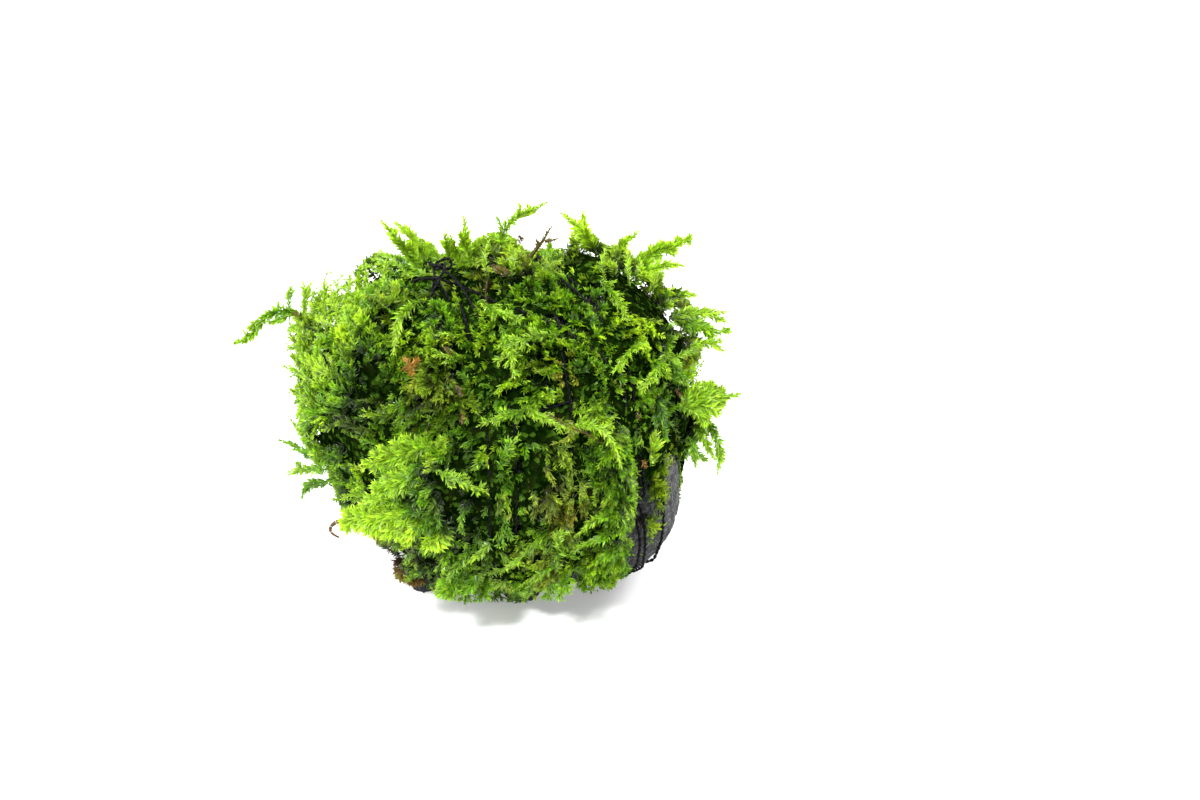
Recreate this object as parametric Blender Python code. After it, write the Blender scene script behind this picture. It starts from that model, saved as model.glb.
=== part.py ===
"""Christmas moss bound to a lava stone with black thread, as it is sold for planting in an aquarium.

The stone is a lump of lava with blunt facets, that stands on four blunt feet with its underside clear of
the ground. A mat of moss wraps it and leaves its underside and one lower corner bare. One thread is wound
round both and tied off on top. Longer fronds, a bare twig and a dead leaf stand out of the mat. Lengths are
millimetres from the heart, a point inside the stone, until the object is set over the origin in metres.
"""

import math

import bmesh
import bpy
import numpy as np
from mathutils import Vector
from mathutils.bvhtree import BVHTree

MM = 0.001
HEART_HEIGHT = 27.0  # of the heart above the surface that the stone stands on
GAP = 0.3  # clear space between two pieces that touch

# Each facet of the stone: azimuth from +X, elevation, distance from the heart. The front is at azimuth 270.
STONE_FACETS = (
    (0, 8, 31.5),
    (38, 6, 28.5),
    (88, 4, 24.5),
    (136, 8, 27.5),
    (180, 6, 26.5),
    (225, 2, 25.0),
    (268, 0, 25.0),
    (318, 4, 29.5),
    (10, 42, 30.5),
    (90, 48, 27.0),
    (166, 44, 27.0),
    (262, 46, 26.0),
    (0, 90, 25.0),
    (206, -38, 23.5),
    (330, -44, 36.5),
    (350, -18, 36.0),
    (90, -40, 26.0),
    (270, -42, 27.0),
)
STONE_SHARPNESS = 16
STONE_CUTS = 10
PIT_COUNT = 90
PIT_DEPTH = 0.9
PIT_WIDTH = 2.4
PIT_SIZES = (0.7, 1.5)  # smallest and largest, as a share of the depth and width above

# The underside, raised clear of the ground for the thread, and the blunt feet that the stone stands on:
# each foot's x and y from the heart and the radius of its sole.
UNDERSIDE_HEIGHT = 3.5
FEET = (
    (-11.5, -8.5, 2.8),
    (-4.0, 4.0, 2.4),
    (5.0, -11.0, 3.6),
    (18.0, 11.0, 3.0),
)
FOOT_FLARE = 1.45  # radius of a foot's top over that of its sole
FOOT_DEPTH = 9.0  # from the ground up into the stone
FOOT_LEAN = 0.35  # share by which a foot's top is nearer the middle than its sole
FOOT_SIDES = 8

# The moss: how deep it lies on the stone, and its thick and thin places as azimuth, elevation, spread in
# degrees and added depth.
MOSS_DEPTH = 5.5
MOSS_PLACES = (
    (8, 20, 28, 4.0),
    (170, 22, 16, 2.5),
    (300, 40, 20, 1.5),
    (262, 6, 20, 1.5),
    (240, -28, 22, 1.0),
    (85, 66, 30, 2.0),
    (26, 41, 13, -3.5),
    (162, 32, 12, 2.5),
    (346, -26, 24, -12.0),
    (322, -46, 16, -5.0),
    (355, -66, 30, -6.0),
    (212, -62, 26, -4.0),
    (264, -50, 20, -3.0),
)
MOSS_CUTS = 15
MOSS_FOOT = 1.2  # lowest moss above the surface
MOSS_FORM_BELOW = 2.0  # how far below the surface the form under the moss runs, so that the moss hangs down
CUSHION_HEIGHT = 0.7
CUSHION_WAVES = ((5.1, 2.3, -3.9), (-4.2, 6.3, 2.7), (3.3, -5.4, 6.1))
CAVITY_CUTS = 8
CAVITY_CLEARANCE = 0.9  # between the rounded stone and the moss, more than the stone's mesh bulges past it

# The thread, and each turn of it round the stone: the plane it lies in, as the azimuth and elevation of
# the plane's normal, and that plane's distance from the heart.
THREAD_RADIUS = 0.33
THREAD_BED = 3.0  # moss pressed flat under the thread
THREAD_OFF_STONE = 0.7  # from the rounded stone to the thread where no moss lies between them
THREAD_UNDER = (0.68, 0.84)  # sines of the angles below level between which the thread leaves the moss
THREAD_STATION = 5.6  # length between two points of the thread
STATION_CLEARANCE = 1.5  # least length between such a point and a crossing
THREAD_SPACING = 0.82  # between the middles of two turns that cross
THREAD_APART = 12.0  # length after which the thread can cross itself
TENT_SLOPE = 0.17  # of the thread as it climbs over an earlier turn
THREAD_CLEARANCE = 0.8  # between the thread and the moss in its groove
GROOVE_REACH = 2.2
GROOVE_SLOPE = 4.0
CHANGE_OVER = (0.42, 0.72)  # shares of a turn between which it swings to the next one's plane
ROUTE_SAMPLES = 400  # in each turn
ROUTE_ROUNDS = 12
FIRST_RADIUS = 25.0  # where the search for a turn's reach starts
THREAD_TURNS = (
    (195, 0, 7.0),
    (117, 56, -2.0),
    (170, 13, 15.0),
    (237, -7, 3.0),
    (209, -5, -13.5),
    (225, -1, -11.5),
    (189, -1, -10.0),
    (204, 1, 7.0),
    (186, 2, 6.0),
)

# The knot on top of the mat, and the two loose ends of the thread that leave it: how far each one runs
# outward, sideways and upward.
KNOT_PLACE = (199, 74.5)
KNOT_SIZE = 0.72
KNOT_RISE = 1.1  # of its strands as they cross, as a share of its size
KNOT_OPENING = 0.45  # radians left open on each side where the ends come out
KNOT_POINTS = 30
KNOT_LIFT = 2.9
KNOT_RUN_ON = 0.4
KNOT_EXIT = 1.0
KNOT_TAILS = ((4.4, 3.6, -1.2), (4.2, -2.2, -1.0))

# Each long frond: its root as azimuth and elevation, its tip, its width, and how far its middle bows out.
FRONDS = (
    ("frond_left_arm", 171, 28, (-43, -3, 17), 3.2, 1.5),
    ("frond_left_sprig", 172, 42, (-29, -1, 27), 2.4, 0.5),
    ("frond_left_thin", 208, 4, (-35, -6, 0), 1.8, 0.5),
    ("frond_left_low", 212, -8, (-34, -8, -5), 1.8, 0.5),
    ("frond_left_foot", 218, -16, (-32, -12, -8), 2.2, 0.5),
    ("frond_left_broad", 246, -4, (-24, -27, -4), 5.5, 1.0),
    ("frond_left_broad_upper", 250, 19, (-19, -27, 7), 4.5, 1.0),
    ("frond_top_left", 166, 66, (-17, 2, 36), 3.6, 0.5),
    ("frond_top_left_second", 148, 72, (-13, 7, 34), 3.0, 0.0),
    ("frond_top_middle", 96, 80, (-4, 4, 36), 3.2, 0.0),
    ("frond_top_curved", 30, 84, (9, 2, 39), 2.6, 2.5),
    ("frond_top_back", 50, 62, (13, 8, 35), 3.6, 0.0),
    ("frond_top_back_second", 38, 54, (17, 13, 33), 3.0, 0.0),
    ("frond_top_right", 22, 56, (24, 5, 32), 3.0, 0.0),
    ("frond_upper_right", 8, 46, (33, 2, 34), 3.6, 0.8),
    ("frond_upper_right_second", 0, 38, (34, -1, 28), 2.4, 0.0),
    ("frond_right_rear", 8, 30, (39, 3, 22), 2.4, 0.0),
    ("frond_right_high", 352, 32, (39, -4, 23), 2.8, 0.5),
    ("frond_right_middle", 348, 26, (39, -7, 20), 2.8, 0.0),
    ("frond_right_low", 344, 22, (38, -10, 17), 2.8, 0.0),
    ("frond_right_broad", 342, 14, (42, -8, 10), 4.5, 0.5),
    ("frond_right_hanging", 348, 8, (39, -10, -3), 3.4, 2.0),
    ("frond_front_foot", 262, -24, (-8, -30, -17), 3.2, 0.5),
    ("frond_back_high", 112, 38, (-13, 31, 15), 3.6, 0.5),
    ("frond_back_right", 62, 24, (20, 31, 12), 3.6, 0.5),
    ("frond_back_left", 132, 8, (-28, 28, 3), 3.6, 0.5),
    ("dead_leaf", 238, -26, (-14, -25, -18), 3.4, 0.4),
)
FROND_TEETH = 4
FROND_NOTCH = 0.55  # width between two teeth as a share of the width at them
FROND_SWEEP = 0.25  # how far the teeth point toward the tip, as a share of the width
FROND_TAPER = 0.8
FROND_THICKNESS = 1.0
STEM_WIDTH = 0.5
STEM_THICKNESS = 0.3
FROND_CLEARANCE = 0.45
FARTHEST_ROOT = 48.0  # from the heart
ROOT_STEP = 0.05
FRONT_SIDE = (270, 27)  # the side that most fronds turn their flat face to
FAR_SIDE = -0.3  # cosine of the angle from that side past which a frond turns its face outward
TWIG_ROOT = (30, 78)
TWIG_TIP = (10.4, 4, 35.6)
TWIG_BEND = 0.55  # where it bends, as a share of its length
TWIG_BOW = 0.6
TWIG_RADIUS = 0.3


def unit(azimuth, elevation):
    """The direction at this azimuth and elevation, both in degrees."""
    a, e = math.radians(azimuth), math.radians(elevation)
    return np.array([math.cos(a) * math.cos(e), math.sin(a) * math.cos(e), math.sin(e)])


FACET_NORMALS = np.array([unit(azimuth, elevation) for azimuth, elevation, _ in STONE_FACETS])
FACET_DISTANCES = np.array([distance for _, _, distance in STONE_FACETS])


def smooth(share):
    """Eases from 0 to 1 as the share goes from 0 to 1."""
    share = np.clip(share, 0, 1)
    return share * share * (3 - 2 * share)


def height_reach(directions, height):
    """Distance from the heart down to this height above the surface; far away in directions that rise."""
    fall = np.clip(-directions[:, 2], 1e-6, None)
    return (HEART_HEIGHT - height) / fall


def facet_reach(directions, underside):
    """Distance from the heart to the stone's facets, their edges rounded by a power mean."""
    shares = np.clip(directions @ FACET_NORMALS.T / FACET_DISTANCES, 0, None)
    below = np.clip(-directions[:, 2] / underside, 0, None)
    return ((shares**STONE_SHARPNESS).sum(axis=1) + below**STONE_SHARPNESS) ** (-1 / STONE_SHARPNESS)


def stone_reach(directions):
    """Distance from the heart to the stone without its feet."""
    return facet_reach(directions, HEART_HEIGHT - UNDERSIDE_HEIGHT)


def wrapped_reach(directions):
    """Distance from the heart to what the moss lies on, which it follows down past the stone's underside."""
    return facet_reach(directions, HEART_HEIGHT + MOSS_FORM_BELOW)


def moss_depth(directions):
    """Depth of moss over the stone: an even layer, its thick and thin places, and low cushions."""
    depth = np.full(len(directions), MOSS_DEPTH)
    for azimuth, elevation, spread, extra in MOSS_PLACES:
        apart = np.degrees(np.arccos(np.clip(directions @ unit(azimuth, elevation), -1, 1)))
        depth += extra * np.exp(-((apart / spread) ** 2))
    waves = sum(np.sin(directions @ np.array(wave) + i) for i, wave in enumerate(CUSHION_WAVES))
    return depth + CUSHION_HEIGHT * waves


def thread_reach(directions):
    """Distance from the heart to the taut thread's middle, on pressed moss, or just off the bare stone."""
    pressed = np.clip(moss_depth(directions), THREAD_OFF_STONE, THREAD_BED)
    start, end = THREAD_UNDER
    under = smooth((-directions[:, 2] - start) / (end - start))
    pressed += (THREAD_OFF_STONE - pressed) * under
    return stone_reach(directions) + pressed + THREAD_RADIUS


def ball(cuts, reach):
    """A closed bmesh round the heart: a cube's grid of quads, each corner set at its reach."""
    mesh = bmesh.new()
    bmesh.ops.create_cube(mesh, size=2)
    bmesh.ops.subdivide_edges(mesh, edges=mesh.edges[:], cuts=cuts, use_grid_fill=True)
    even = np.tan(np.array([v.co for v in mesh.verts]) * math.pi / 4)
    directions = even / np.linalg.norm(even, axis=1, keepdims=True)
    for vert, place in zip(mesh.verts, directions * reach(directions)[:, None]):
        vert.co = place
    bmesh.ops.triangulate(mesh, faces=mesh.faces[:])
    return mesh


def material(name, colour, roughness):
    """A plain material of this linear colour."""
    made = bpy.data.materials.new(name)
    made.use_nodes = True
    shader = made.node_tree.nodes["Principled BSDF"]
    shader.inputs["Base Color"].default_value = (*colour, 1)
    shader.inputs["Roughness"].default_value = roughness
    return made


def add(name, mesh, finish):
    """Makes a bmesh in millimetres into a named object in metres, of one material."""
    data = bpy.data.meshes.new(name)
    bmesh.ops.scale(mesh, verts=mesh.verts[:], vec=(MM, MM, MM))
    mesh.to_mesh(data)
    mesh.free()
    made = bpy.data.objects.new(name, data)
    bpy.context.scene.collection.objects.link(made)
    made.data.materials.append(finish)
    return made


def tube(name, points, radius, finish):
    """A closed tube along these points, as a curve with a bevel and filled ends."""
    curve = bpy.data.curves.new(name, "CURVE")
    curve.dimensions = "3D"
    curve.bevel_depth = radius * MM
    curve.bevel_resolution = 0
    curve.use_fill_caps = True
    spline = curve.splines.new("POLY")
    spline.points.add(len(points) - 1)
    for point, place in zip(spline.points, points):
        point.co = (*(np.array(place) * MM), 1)
    made = bpy.data.objects.new(name, curve)
    bpy.context.scene.collection.objects.link(made)
    made.data.materials.append(finish)
    return made


def stone_with_pits(directions):
    """The facets, dented by shallow round pits left by gas bubbles."""
    chance = np.random.default_rng(4)
    centres = chance.normal(size=(PIT_COUNT, 3))
    centres /= np.linalg.norm(centres, axis=1, keepdims=True)
    reach = stone_reach(directions)
    dent = np.zeros(len(reach))
    for centre, size in zip(centres, chance.uniform(*PIT_SIZES, PIT_COUNT)):
        apart = np.linalg.norm(directions - centre, axis=1) * reach
        dent += PIT_DEPTH * size * np.exp(-((apart / (PIT_WIDTH * size)) ** 2))
    return reach - dent


def turn_plane(turns):
    """Normal and distance of the thread's plane after this many turns, easing to the next one's."""
    start, end = CHANGE_OVER
    whole = np.clip(np.floor(turns).astype(int), 0, len(THREAD_TURNS) - 1)
    after = np.minimum(whole + 1, len(THREAD_TURNS) - 1)
    ease = smooth((turns - whole - start) / (end - start))
    table = np.array([(*unit(azimuth, elevation), offset) for azimuth, elevation, offset in THREAD_TURNS])
    planes = table[whole] + (table[after] - table[whole]) * ease[:, None]
    normals = planes[:, :3] / np.linalg.norm(planes[:, :3], axis=1, keepdims=True)
    return normals, planes[:, 3]


def taut_route():
    """Points along the thread from the knot and back to it, before it is raised where it crosses itself.

    Each turn leaves the top for the front, passes under the stone and comes up the back.
    """
    turns = np.arange(0, len(THREAD_TURNS) - 1, 1 / ROUTE_SAMPLES)
    normals, offsets = turn_plane(turns)
    upward = np.array([0.0, 0.0, 1.0]) - normals * normals[:, 2:3]
    upward /= np.linalg.norm(upward, axis=1, keepdims=True)
    forward = np.cross(upward, normals)
    angle = 2 * math.pi * turns
    spokes = upward * np.cos(angle)[:, None] + forward * np.sin(angle)[:, None]
    radius = np.full(len(turns), FIRST_RADIUS)
    for _ in range(ROUTE_ROUNDS):
        points = normals * offsets[:, None] + spokes * radius[:, None]
        distance = np.linalg.norm(points, axis=1, keepdims=True)
        radius = np.sqrt(np.clip(thread_reach(points / distance) ** 2 - offsets**2, 1, None))
    return normals * offsets[:, None] + spokes * radius[:, None]


def raised_route(points):
    """Lifts each later turn over the earlier ones that it crosses, as a tent on the strand underneath.

    Gives the lifted points, the length along them, and the places of the tents' tops.
    """
    distance = np.linalg.norm(points, axis=1)
    directions = points / distance[:, None]
    along = np.concatenate([[0], np.cumsum(np.linalg.norm(np.diff(points, axis=0), axis=1))])
    height = distance.copy()
    tops = []
    for i in range(len(points)):
        earlier = along < along[i] - THREAD_APART
        apart = np.linalg.norm(directions[earlier] - directions[i], axis=1) * distance[i]
        under = apart < THREAD_SPACING
        if under.any():
            needed = (height[earlier][under] + np.sqrt(THREAD_SPACING**2 - apart[under] ** 2)).max()
            if needed > height[i]:
                tent = needed - distance[i] - TENT_SLOPE * np.abs(along - along[i])
                height = np.maximum(height, distance + tent)
                tops.append(i)
    lift = height - distance
    peaks = [i for i in tops if lift[i] >= lift[max(0, i - 2) : i + 3].max()]
    return directions * height[:, None], along, peaks


def thread_stations(route):
    """The thread's points: one every station, and one at each place where it passes over itself."""
    points, along, peaks = raised_route(route)
    crossings = []
    for peak in peaks:
        if not crossings or along[peak] - crossings[-1] > STATION_CLEARANCE:
            crossings.append(along[peak])
    even = np.linspace(0, along[-1], round(along[-1] / THREAD_STATION) + 1)
    near = np.min(np.abs(even[:, None] - np.array(crossings)), axis=1)
    even = even[(near > STATION_CLEARANCE) | (even == 0) | (even == along[-1])]
    stations = np.sort(np.concatenate([even, crossings]))
    return np.stack([np.interp(stations, along, points[:, axis]) for axis in range(3)], axis=1)


def knot_centre():
    """The middle of the knot, above the thread where it starts on top of the mat."""
    direction = unit(*KNOT_PLACE)
    return direction * (thread_reach(direction[None])[0] + KNOT_LIFT)


def knot_route():
    """An overhand knot: a trefoil opened at its front lobe, whose two ends leave it side by side."""
    lobe = math.pi
    angle = np.linspace(lobe + KNOT_OPENING, lobe + 2 * math.pi - KNOT_OPENING, KNOT_POINTS)
    x = np.sin(angle) + 2 * np.sin(2 * angle)
    y = np.cos(angle) - 2 * np.cos(2 * angle)
    loop = np.stack([x, y, -KNOT_RISE * np.sin(3 * angle)], axis=1) * KNOT_SIZE
    out = np.array([math.sin(lobe), math.cos(lobe), 0.0])
    side = np.array([out[1], -out[0], 0.0])
    ends = []
    for last, before, tail in zip(loop[[0, -1]], loop[[1, -2]], KNOT_TAILS):
        bend = last + (last - before) * KNOT_RUN_ON + out * KNOT_EXIT
        ends.append((bend, bend + out * tail[0] + side * tail[1] + np.array([0, 0, tail[2]])))
    return np.vstack([ends[0][::-1], loop, ends[1]]) + knot_centre()


def mat_reach(route):
    """Distance from the heart to the moss tips, sunk to a groove under the thread."""
    bed = np.linalg.norm(route, axis=1)
    lines = route / bed[:, None]

    def reach(directions):
        tips = wrapped_reach(directions) + moss_depth(directions)
        tips = np.minimum(tips, height_reach(directions, MOSS_FOOT))
        chords = np.linalg.norm(directions[:, None, :] - lines[None, :, :], axis=2) * tips[:, None]
        floors = bed[None, :] - THREAD_RADIUS - THREAD_CLEARANCE
        rise = smooth((chords - GROOVE_REACH) / GROOVE_SLOPE)
        sunk = floors + np.clip(tips[:, None] - floors, 0, None) * rise
        return np.minimum(tips, sunk.min(axis=1))

    return reach


def surface_of(obj):
    """A search tree of an object's evaluated surface, in millimetres."""
    bpy.context.view_layer.update()
    seen = obj.evaluated_get(bpy.context.evaluated_depsgraph_get())
    data = seen.to_mesh()
    data.calc_loop_triangles()
    corners = [Vector(vert.co) / MM for vert in data.vertices]
    tree = BVHTree.FromPolygons(corners, [tuple(triangle.vertices) for triangle in data.loop_triangles])
    seen.to_mesh_clear()
    return tree


def is_near(places, trees, clearance):
    """Whether any of these places is within this distance of any surface."""
    for tree in trees:
        if any(tree.find_nearest(Vector(place), clearance)[0] is not None for place in places):
            return True
    return False


def clear_place(direction, trees, clearance):
    """The lowest place along a direction from the heart that is this far from every surface."""
    distance = FARTHEST_ROOT
    while not is_near([direction * distance], trees, clearance):
        distance -= ROOT_STEP
    return direction * (distance + ROOT_STEP)


def blade(root, tip, width, bow, trees):
    """A bmesh of one frond: a keeled feather, stem-thin at its root, with side shoots as teeth.

    Where it would touch the mat or the thread, that stretch of it is lifted outward.
    """
    stations = 2 * FROND_TEETH + 1
    share = np.linspace(0, 1, stations + 2)[1:-1]
    out = (root + tip) / np.linalg.norm(root + tip)
    spine = root + (tip - root) * share[:, None] + out * bow * (4 * share * (1 - share))[:, None]
    along = (tip - root) / np.linalg.norm(tip - root)
    face = unit(*FRONT_SIDE) if out @ unit(*FRONT_SIDE) > FAR_SIDE else out
    face = face - along * (face @ along)
    face /= np.linalg.norm(face)
    side = np.cross(face, along)
    outline = np.sin(math.pi * share**FROND_TAPER) ** FROND_TAPER
    has_tooth = np.arange(stations) % 2 == 1
    half = np.maximum(width * outline * np.where(has_tooth, 1.0, FROND_NOTCH), STEM_WIDTH) / 2
    thick = np.maximum(FROND_THICKNESS * outline, STEM_THICKNESS) / 2
    swept = along * (FROND_SWEEP * width * has_tooth)[:, None]
    mesh = bmesh.new()
    start, end = mesh.verts.new(root), mesh.verts.new(tip)
    rings = []
    for i in range(stations):
        edges = (spine[i] + side * half[i] + swept[i], spine[i] - side * half[i] + swept[i])
        ring = np.array([edges[0], spine[i] + face * thick[i], edges[1], spine[i] - face * thick[i]])
        while is_near(ring, trees, FROND_CLEARANCE):
            ring += out * ROOT_STEP
        rings.append([mesh.verts.new(corner) for corner in ring])
    for lower, upper in zip(rings, rings[1:]):
        for i in range(4):
            mesh.faces.new((lower[i], lower[(i + 1) % 4], upper[(i + 1) % 4], upper[i]))
    for i in range(4):
        mesh.faces.new((rings[0][(i + 1) % 4], rings[0][i], start))
        mesh.faces.new((rings[-1][i], rings[-1][(i + 1) % 4], end))
    bmesh.ops.triangulate(mesh, faces=mesh.faces[:])
    bmesh.ops.recalc_face_normals(mesh, faces=mesh.faces[:])
    return mesh


def foot(x, y, radius, wider):
    """A blunt stub that leans from the ground up into the stone, made this much wider and deeper."""
    mesh = bmesh.new()
    depth = FOOT_DEPTH + 2 * wider
    sole, top = radius + wider, radius * FOOT_FLARE + wider
    bmesh.ops.create_cone(mesh, cap_ends=True, segments=FOOT_SIDES, radius1=sole, radius2=top, depth=depth)
    for vert in mesh.verts:
        nearer = 1 - FOOT_LEAN * (vert.co.z / depth + 0.5)
        vert.co += Vector((x * nearer, y * nearer, FOOT_DEPTH / 2 - HEART_HEIGHT))
    return mesh


def combine(target, other, operation):
    """Joins the other object to the target or cuts it away, and hides it."""
    other.hide_render = True
    other.display_type = "WIRE"
    joint = target.modifiers.new(other.name, "BOOLEAN")
    joint.operation = operation
    joint.solver = "EXACT"
    joint.object = other


def set_over_origin():
    """Moves every object so that the bottom middle of the whole object's box is the origin."""
    bpy.context.view_layer.update()
    graph = bpy.context.evaluated_depsgraph_get()
    corners = []
    for obj in bpy.data.objects:
        if not obj.hide_render:
            data = obj.evaluated_get(graph).to_mesh()
            corners += [vert.co.copy() for vert in data.vertices]
    corners = np.array(corners)
    middle = (corners.min(axis=0) + corners.max(axis=0)) / 2
    for obj in bpy.data.objects:
        obj.location = (-middle[0], -middle[1], HEART_HEIGHT * MM)


def build():
    """Makes every piece of the object, in place."""
    for obj in list(bpy.data.objects):
        bpy.data.objects.remove(obj)
    lava = material("lava", (0.055, 0.056, 0.062), 0.9)
    green = material("moss", (0.16, 0.32, 0.03), 0.6)
    light = material("young_moss", (0.28, 0.48, 0.05), 0.5)
    black = material("black_thread", (0.012, 0.012, 0.014), 0.7)
    brown = material("dead_leaf", (0.15, 0.08, 0.03), 0.8)

    stone = add("lava_stone", ball(STONE_CUTS, stone_with_pits), lava)
    route = taut_route()
    thread = tube("binding_thread", thread_stations(route), THREAD_RADIUS, black)
    tube("thread_knot", knot_route(), THREAD_RADIUS, black)

    mat = add("moss_mat", ball(MOSS_CUTS, mat_reach(route[::3])), green)
    cavity = ball(CAVITY_CUTS, lambda directions: wrapped_reach(directions) + CAVITY_CLEARANCE)
    combine(mat, add("stone_clearance", cavity, lava), "DIFFERENCE")
    for number, (x, y, radius) in enumerate(FEET, start=1):
        combine(stone, add(f"foot_{number}", foot(x, y, radius, 0), lava), "UNION")
        clearance = add(f"foot_clearance_{number}", foot(x, y, radius, CAVITY_CLEARANCE), lava)
        combine(mat, clearance, "DIFFERENCE")

    trees = (surface_of(mat), surface_of(thread))
    for name, azimuth, elevation, tip, width, bow in FRONDS:
        root = clear_place(unit(azimuth, elevation), trees, FROND_CLEARANCE)
        finish = brown if name == "dead_leaf" else light
        add(name, blade(root, np.array(tip, dtype=float), width, bow, trees), finish)
    twig_root = clear_place(unit(*TWIG_ROOT), trees, FROND_CLEARANCE + TWIG_RADIUS)
    twig_tip = np.array(TWIG_TIP, dtype=float)
    twig_bend = twig_root + (twig_tip - twig_root) * TWIG_BEND + np.array([TWIG_BOW, 0, 0])
    tube("bare_twig", (twig_root, twig_bend, twig_tip), TWIG_RADIUS, brown)
    set_over_origin()


build()
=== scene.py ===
"""Christmas moss bound to a lava stone with black thread: its looks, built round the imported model.

Shapes are worked out in millimetres in the model's own frame: +Z is up and the front is toward -Y.
"""

import math

import bmesh
import bpy
import numpy as np
from mathutils import Matrix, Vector
from mathutils.bvhtree import BVHTree


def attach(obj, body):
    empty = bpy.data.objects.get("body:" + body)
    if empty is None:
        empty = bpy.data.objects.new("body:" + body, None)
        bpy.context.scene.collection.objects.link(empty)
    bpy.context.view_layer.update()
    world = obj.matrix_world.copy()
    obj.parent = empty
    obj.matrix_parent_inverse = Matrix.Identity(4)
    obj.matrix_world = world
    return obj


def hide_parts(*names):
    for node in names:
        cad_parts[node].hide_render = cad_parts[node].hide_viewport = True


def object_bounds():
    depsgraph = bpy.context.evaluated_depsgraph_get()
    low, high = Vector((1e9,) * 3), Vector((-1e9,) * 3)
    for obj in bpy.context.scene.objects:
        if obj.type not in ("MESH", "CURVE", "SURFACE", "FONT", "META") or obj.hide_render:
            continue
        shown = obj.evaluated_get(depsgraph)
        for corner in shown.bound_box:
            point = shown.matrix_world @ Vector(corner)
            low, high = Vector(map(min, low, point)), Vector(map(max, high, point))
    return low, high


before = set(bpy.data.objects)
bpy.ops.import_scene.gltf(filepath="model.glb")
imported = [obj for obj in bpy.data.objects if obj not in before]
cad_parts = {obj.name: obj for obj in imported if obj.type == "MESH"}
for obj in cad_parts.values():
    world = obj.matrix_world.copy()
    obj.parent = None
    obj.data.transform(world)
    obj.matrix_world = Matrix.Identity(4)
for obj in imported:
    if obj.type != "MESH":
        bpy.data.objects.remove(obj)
cad_low, cad_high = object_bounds()

# The view: a long lens that looks down at the clump from the front. The heart is a point inside the stone,
# and the picture's pixels are counted on 1200 by 800.
MM = 0.001
HEART = np.array([0.5, 0.62, 27.0])
HEART_PIXEL = np.array([492.0, 423.0])
PICTURE = np.array([1200.0, 800.0])
PIXEL_SIZE = 0.17
SIGHT = 600.0
SENSOR = 36.0
TILT = math.radians(27)
FORWARD = np.array([0.0, math.cos(TILT), -math.sin(TILT)])
RIGHT = np.array([1.0, 0.0, 0.0])
UP = np.cross(RIGHT, FORWARD)
off_centre = (PICTURE / 2 - HEART_PIXEL) * PIXEL_SIZE
EYE = HEART + off_centre[0] * RIGHT - off_centre[1] * UP - SIGHT * FORWARD

camera_data = bpy.data.cameras.new("camera")
camera_data.sensor_width = SENSOR
camera_data.lens = SENSOR * SIGHT / (PIXEL_SIZE * PICTURE[0])
camera_data.clip_start = 0.01
camera_data.clip_end = 20
camera = bpy.data.objects.new("camera", camera_data)
turn = np.stack([RIGHT, UP, -FORWARD], axis=1)
camera.matrix_world = Matrix.Translation(EYE * MM) @ Matrix(turn.tolist()).to_4x4()
bpy.context.scene.collection.objects.link(camera)
bpy.context.scene.camera = camera

# The studio: a white floor with a faint glow of its own, a dim white surround, a soft lamp in front on the
# left, a broad one overhead, and two behind that shine through the leaves at the rim.
FLOOR_SIZE = 8.0
FLOOR_GLOW = 0.32
SURROUND_STRENGTH = 0.50


def lamp(name, place, size, power):
    """A square soft lamp at this place in metres that shines at the heart."""
    data = bpy.data.lights.new(name, "AREA")
    data.size = size
    data.energy = power
    made = bpy.data.objects.new(name, data)
    away = np.array(place) - HEART * MM
    away /= np.linalg.norm(away)
    side = np.cross([0.0, 0.0, 1.0], away)
    side /= np.linalg.norm(side)
    axes = np.stack([side, np.cross(away, side), away], axis=1)
    made.matrix_world = Matrix.Translation(place) @ Matrix(axes.tolist()).to_4x4()
    bpy.context.scene.collection.objects.link(made)


def new_finish(name, values):
    """A material with these values in its Principled shader, with its node tree and that shader."""
    finish = bpy.data.materials.new(name)
    finish.use_nodes = True
    shader = finish.node_tree.nodes["Principled BSDF"]
    for key, value in values.items():
        shader.inputs[key].default_value = value
    return finish, finish.node_tree, shader


lamp("key_lamp", (-0.30, -0.48, 0.58), 0.12, 9.0)
lamp("top_lamp", (0.08, -0.02, 0.90), 0.40, 8.0)
lamp("left_rim_lamp", (-0.60, 0.35, 0.40), 0.40, 6.0)
lamp("right_rim_lamp", (0.52, 0.36, 0.52), 0.40, 8.0)

world = bpy.data.worlds.new("surround")
world.use_nodes = True
world.node_tree.nodes["Background"].inputs["Color"].default_value = (1, 1, 1, 1)
world.node_tree.nodes["Background"].inputs["Strength"].default_value = SURROUND_STRENGTH
bpy.context.scene.world = world
bpy.context.scene.view_settings.view_transform = "Standard"

floor_data = bpy.data.meshes.new("floor")
half = FLOOR_SIZE / 2
floor_corners = [(-half, -half, 0), (half, -half, 0), (half, half, 0), (-half, half, 0)]
floor_data.from_pydata(floor_corners, [], [(0, 1, 2, 3)])
floor = bpy.data.objects.new("floor", floor_data)
floor_look = {"Base Color": (0.85, 0.85, 0.855, 1), "Roughness": 0.7}
floor_glow = {"Emission Color": (1, 1, 1, 1), "Emission Strength": FLOOR_GLOW}
floor_data.materials.append(new_finish("white_floor", floor_look | floor_glow)[0])
bpy.context.scene.collection.objects.link(floor)

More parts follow.
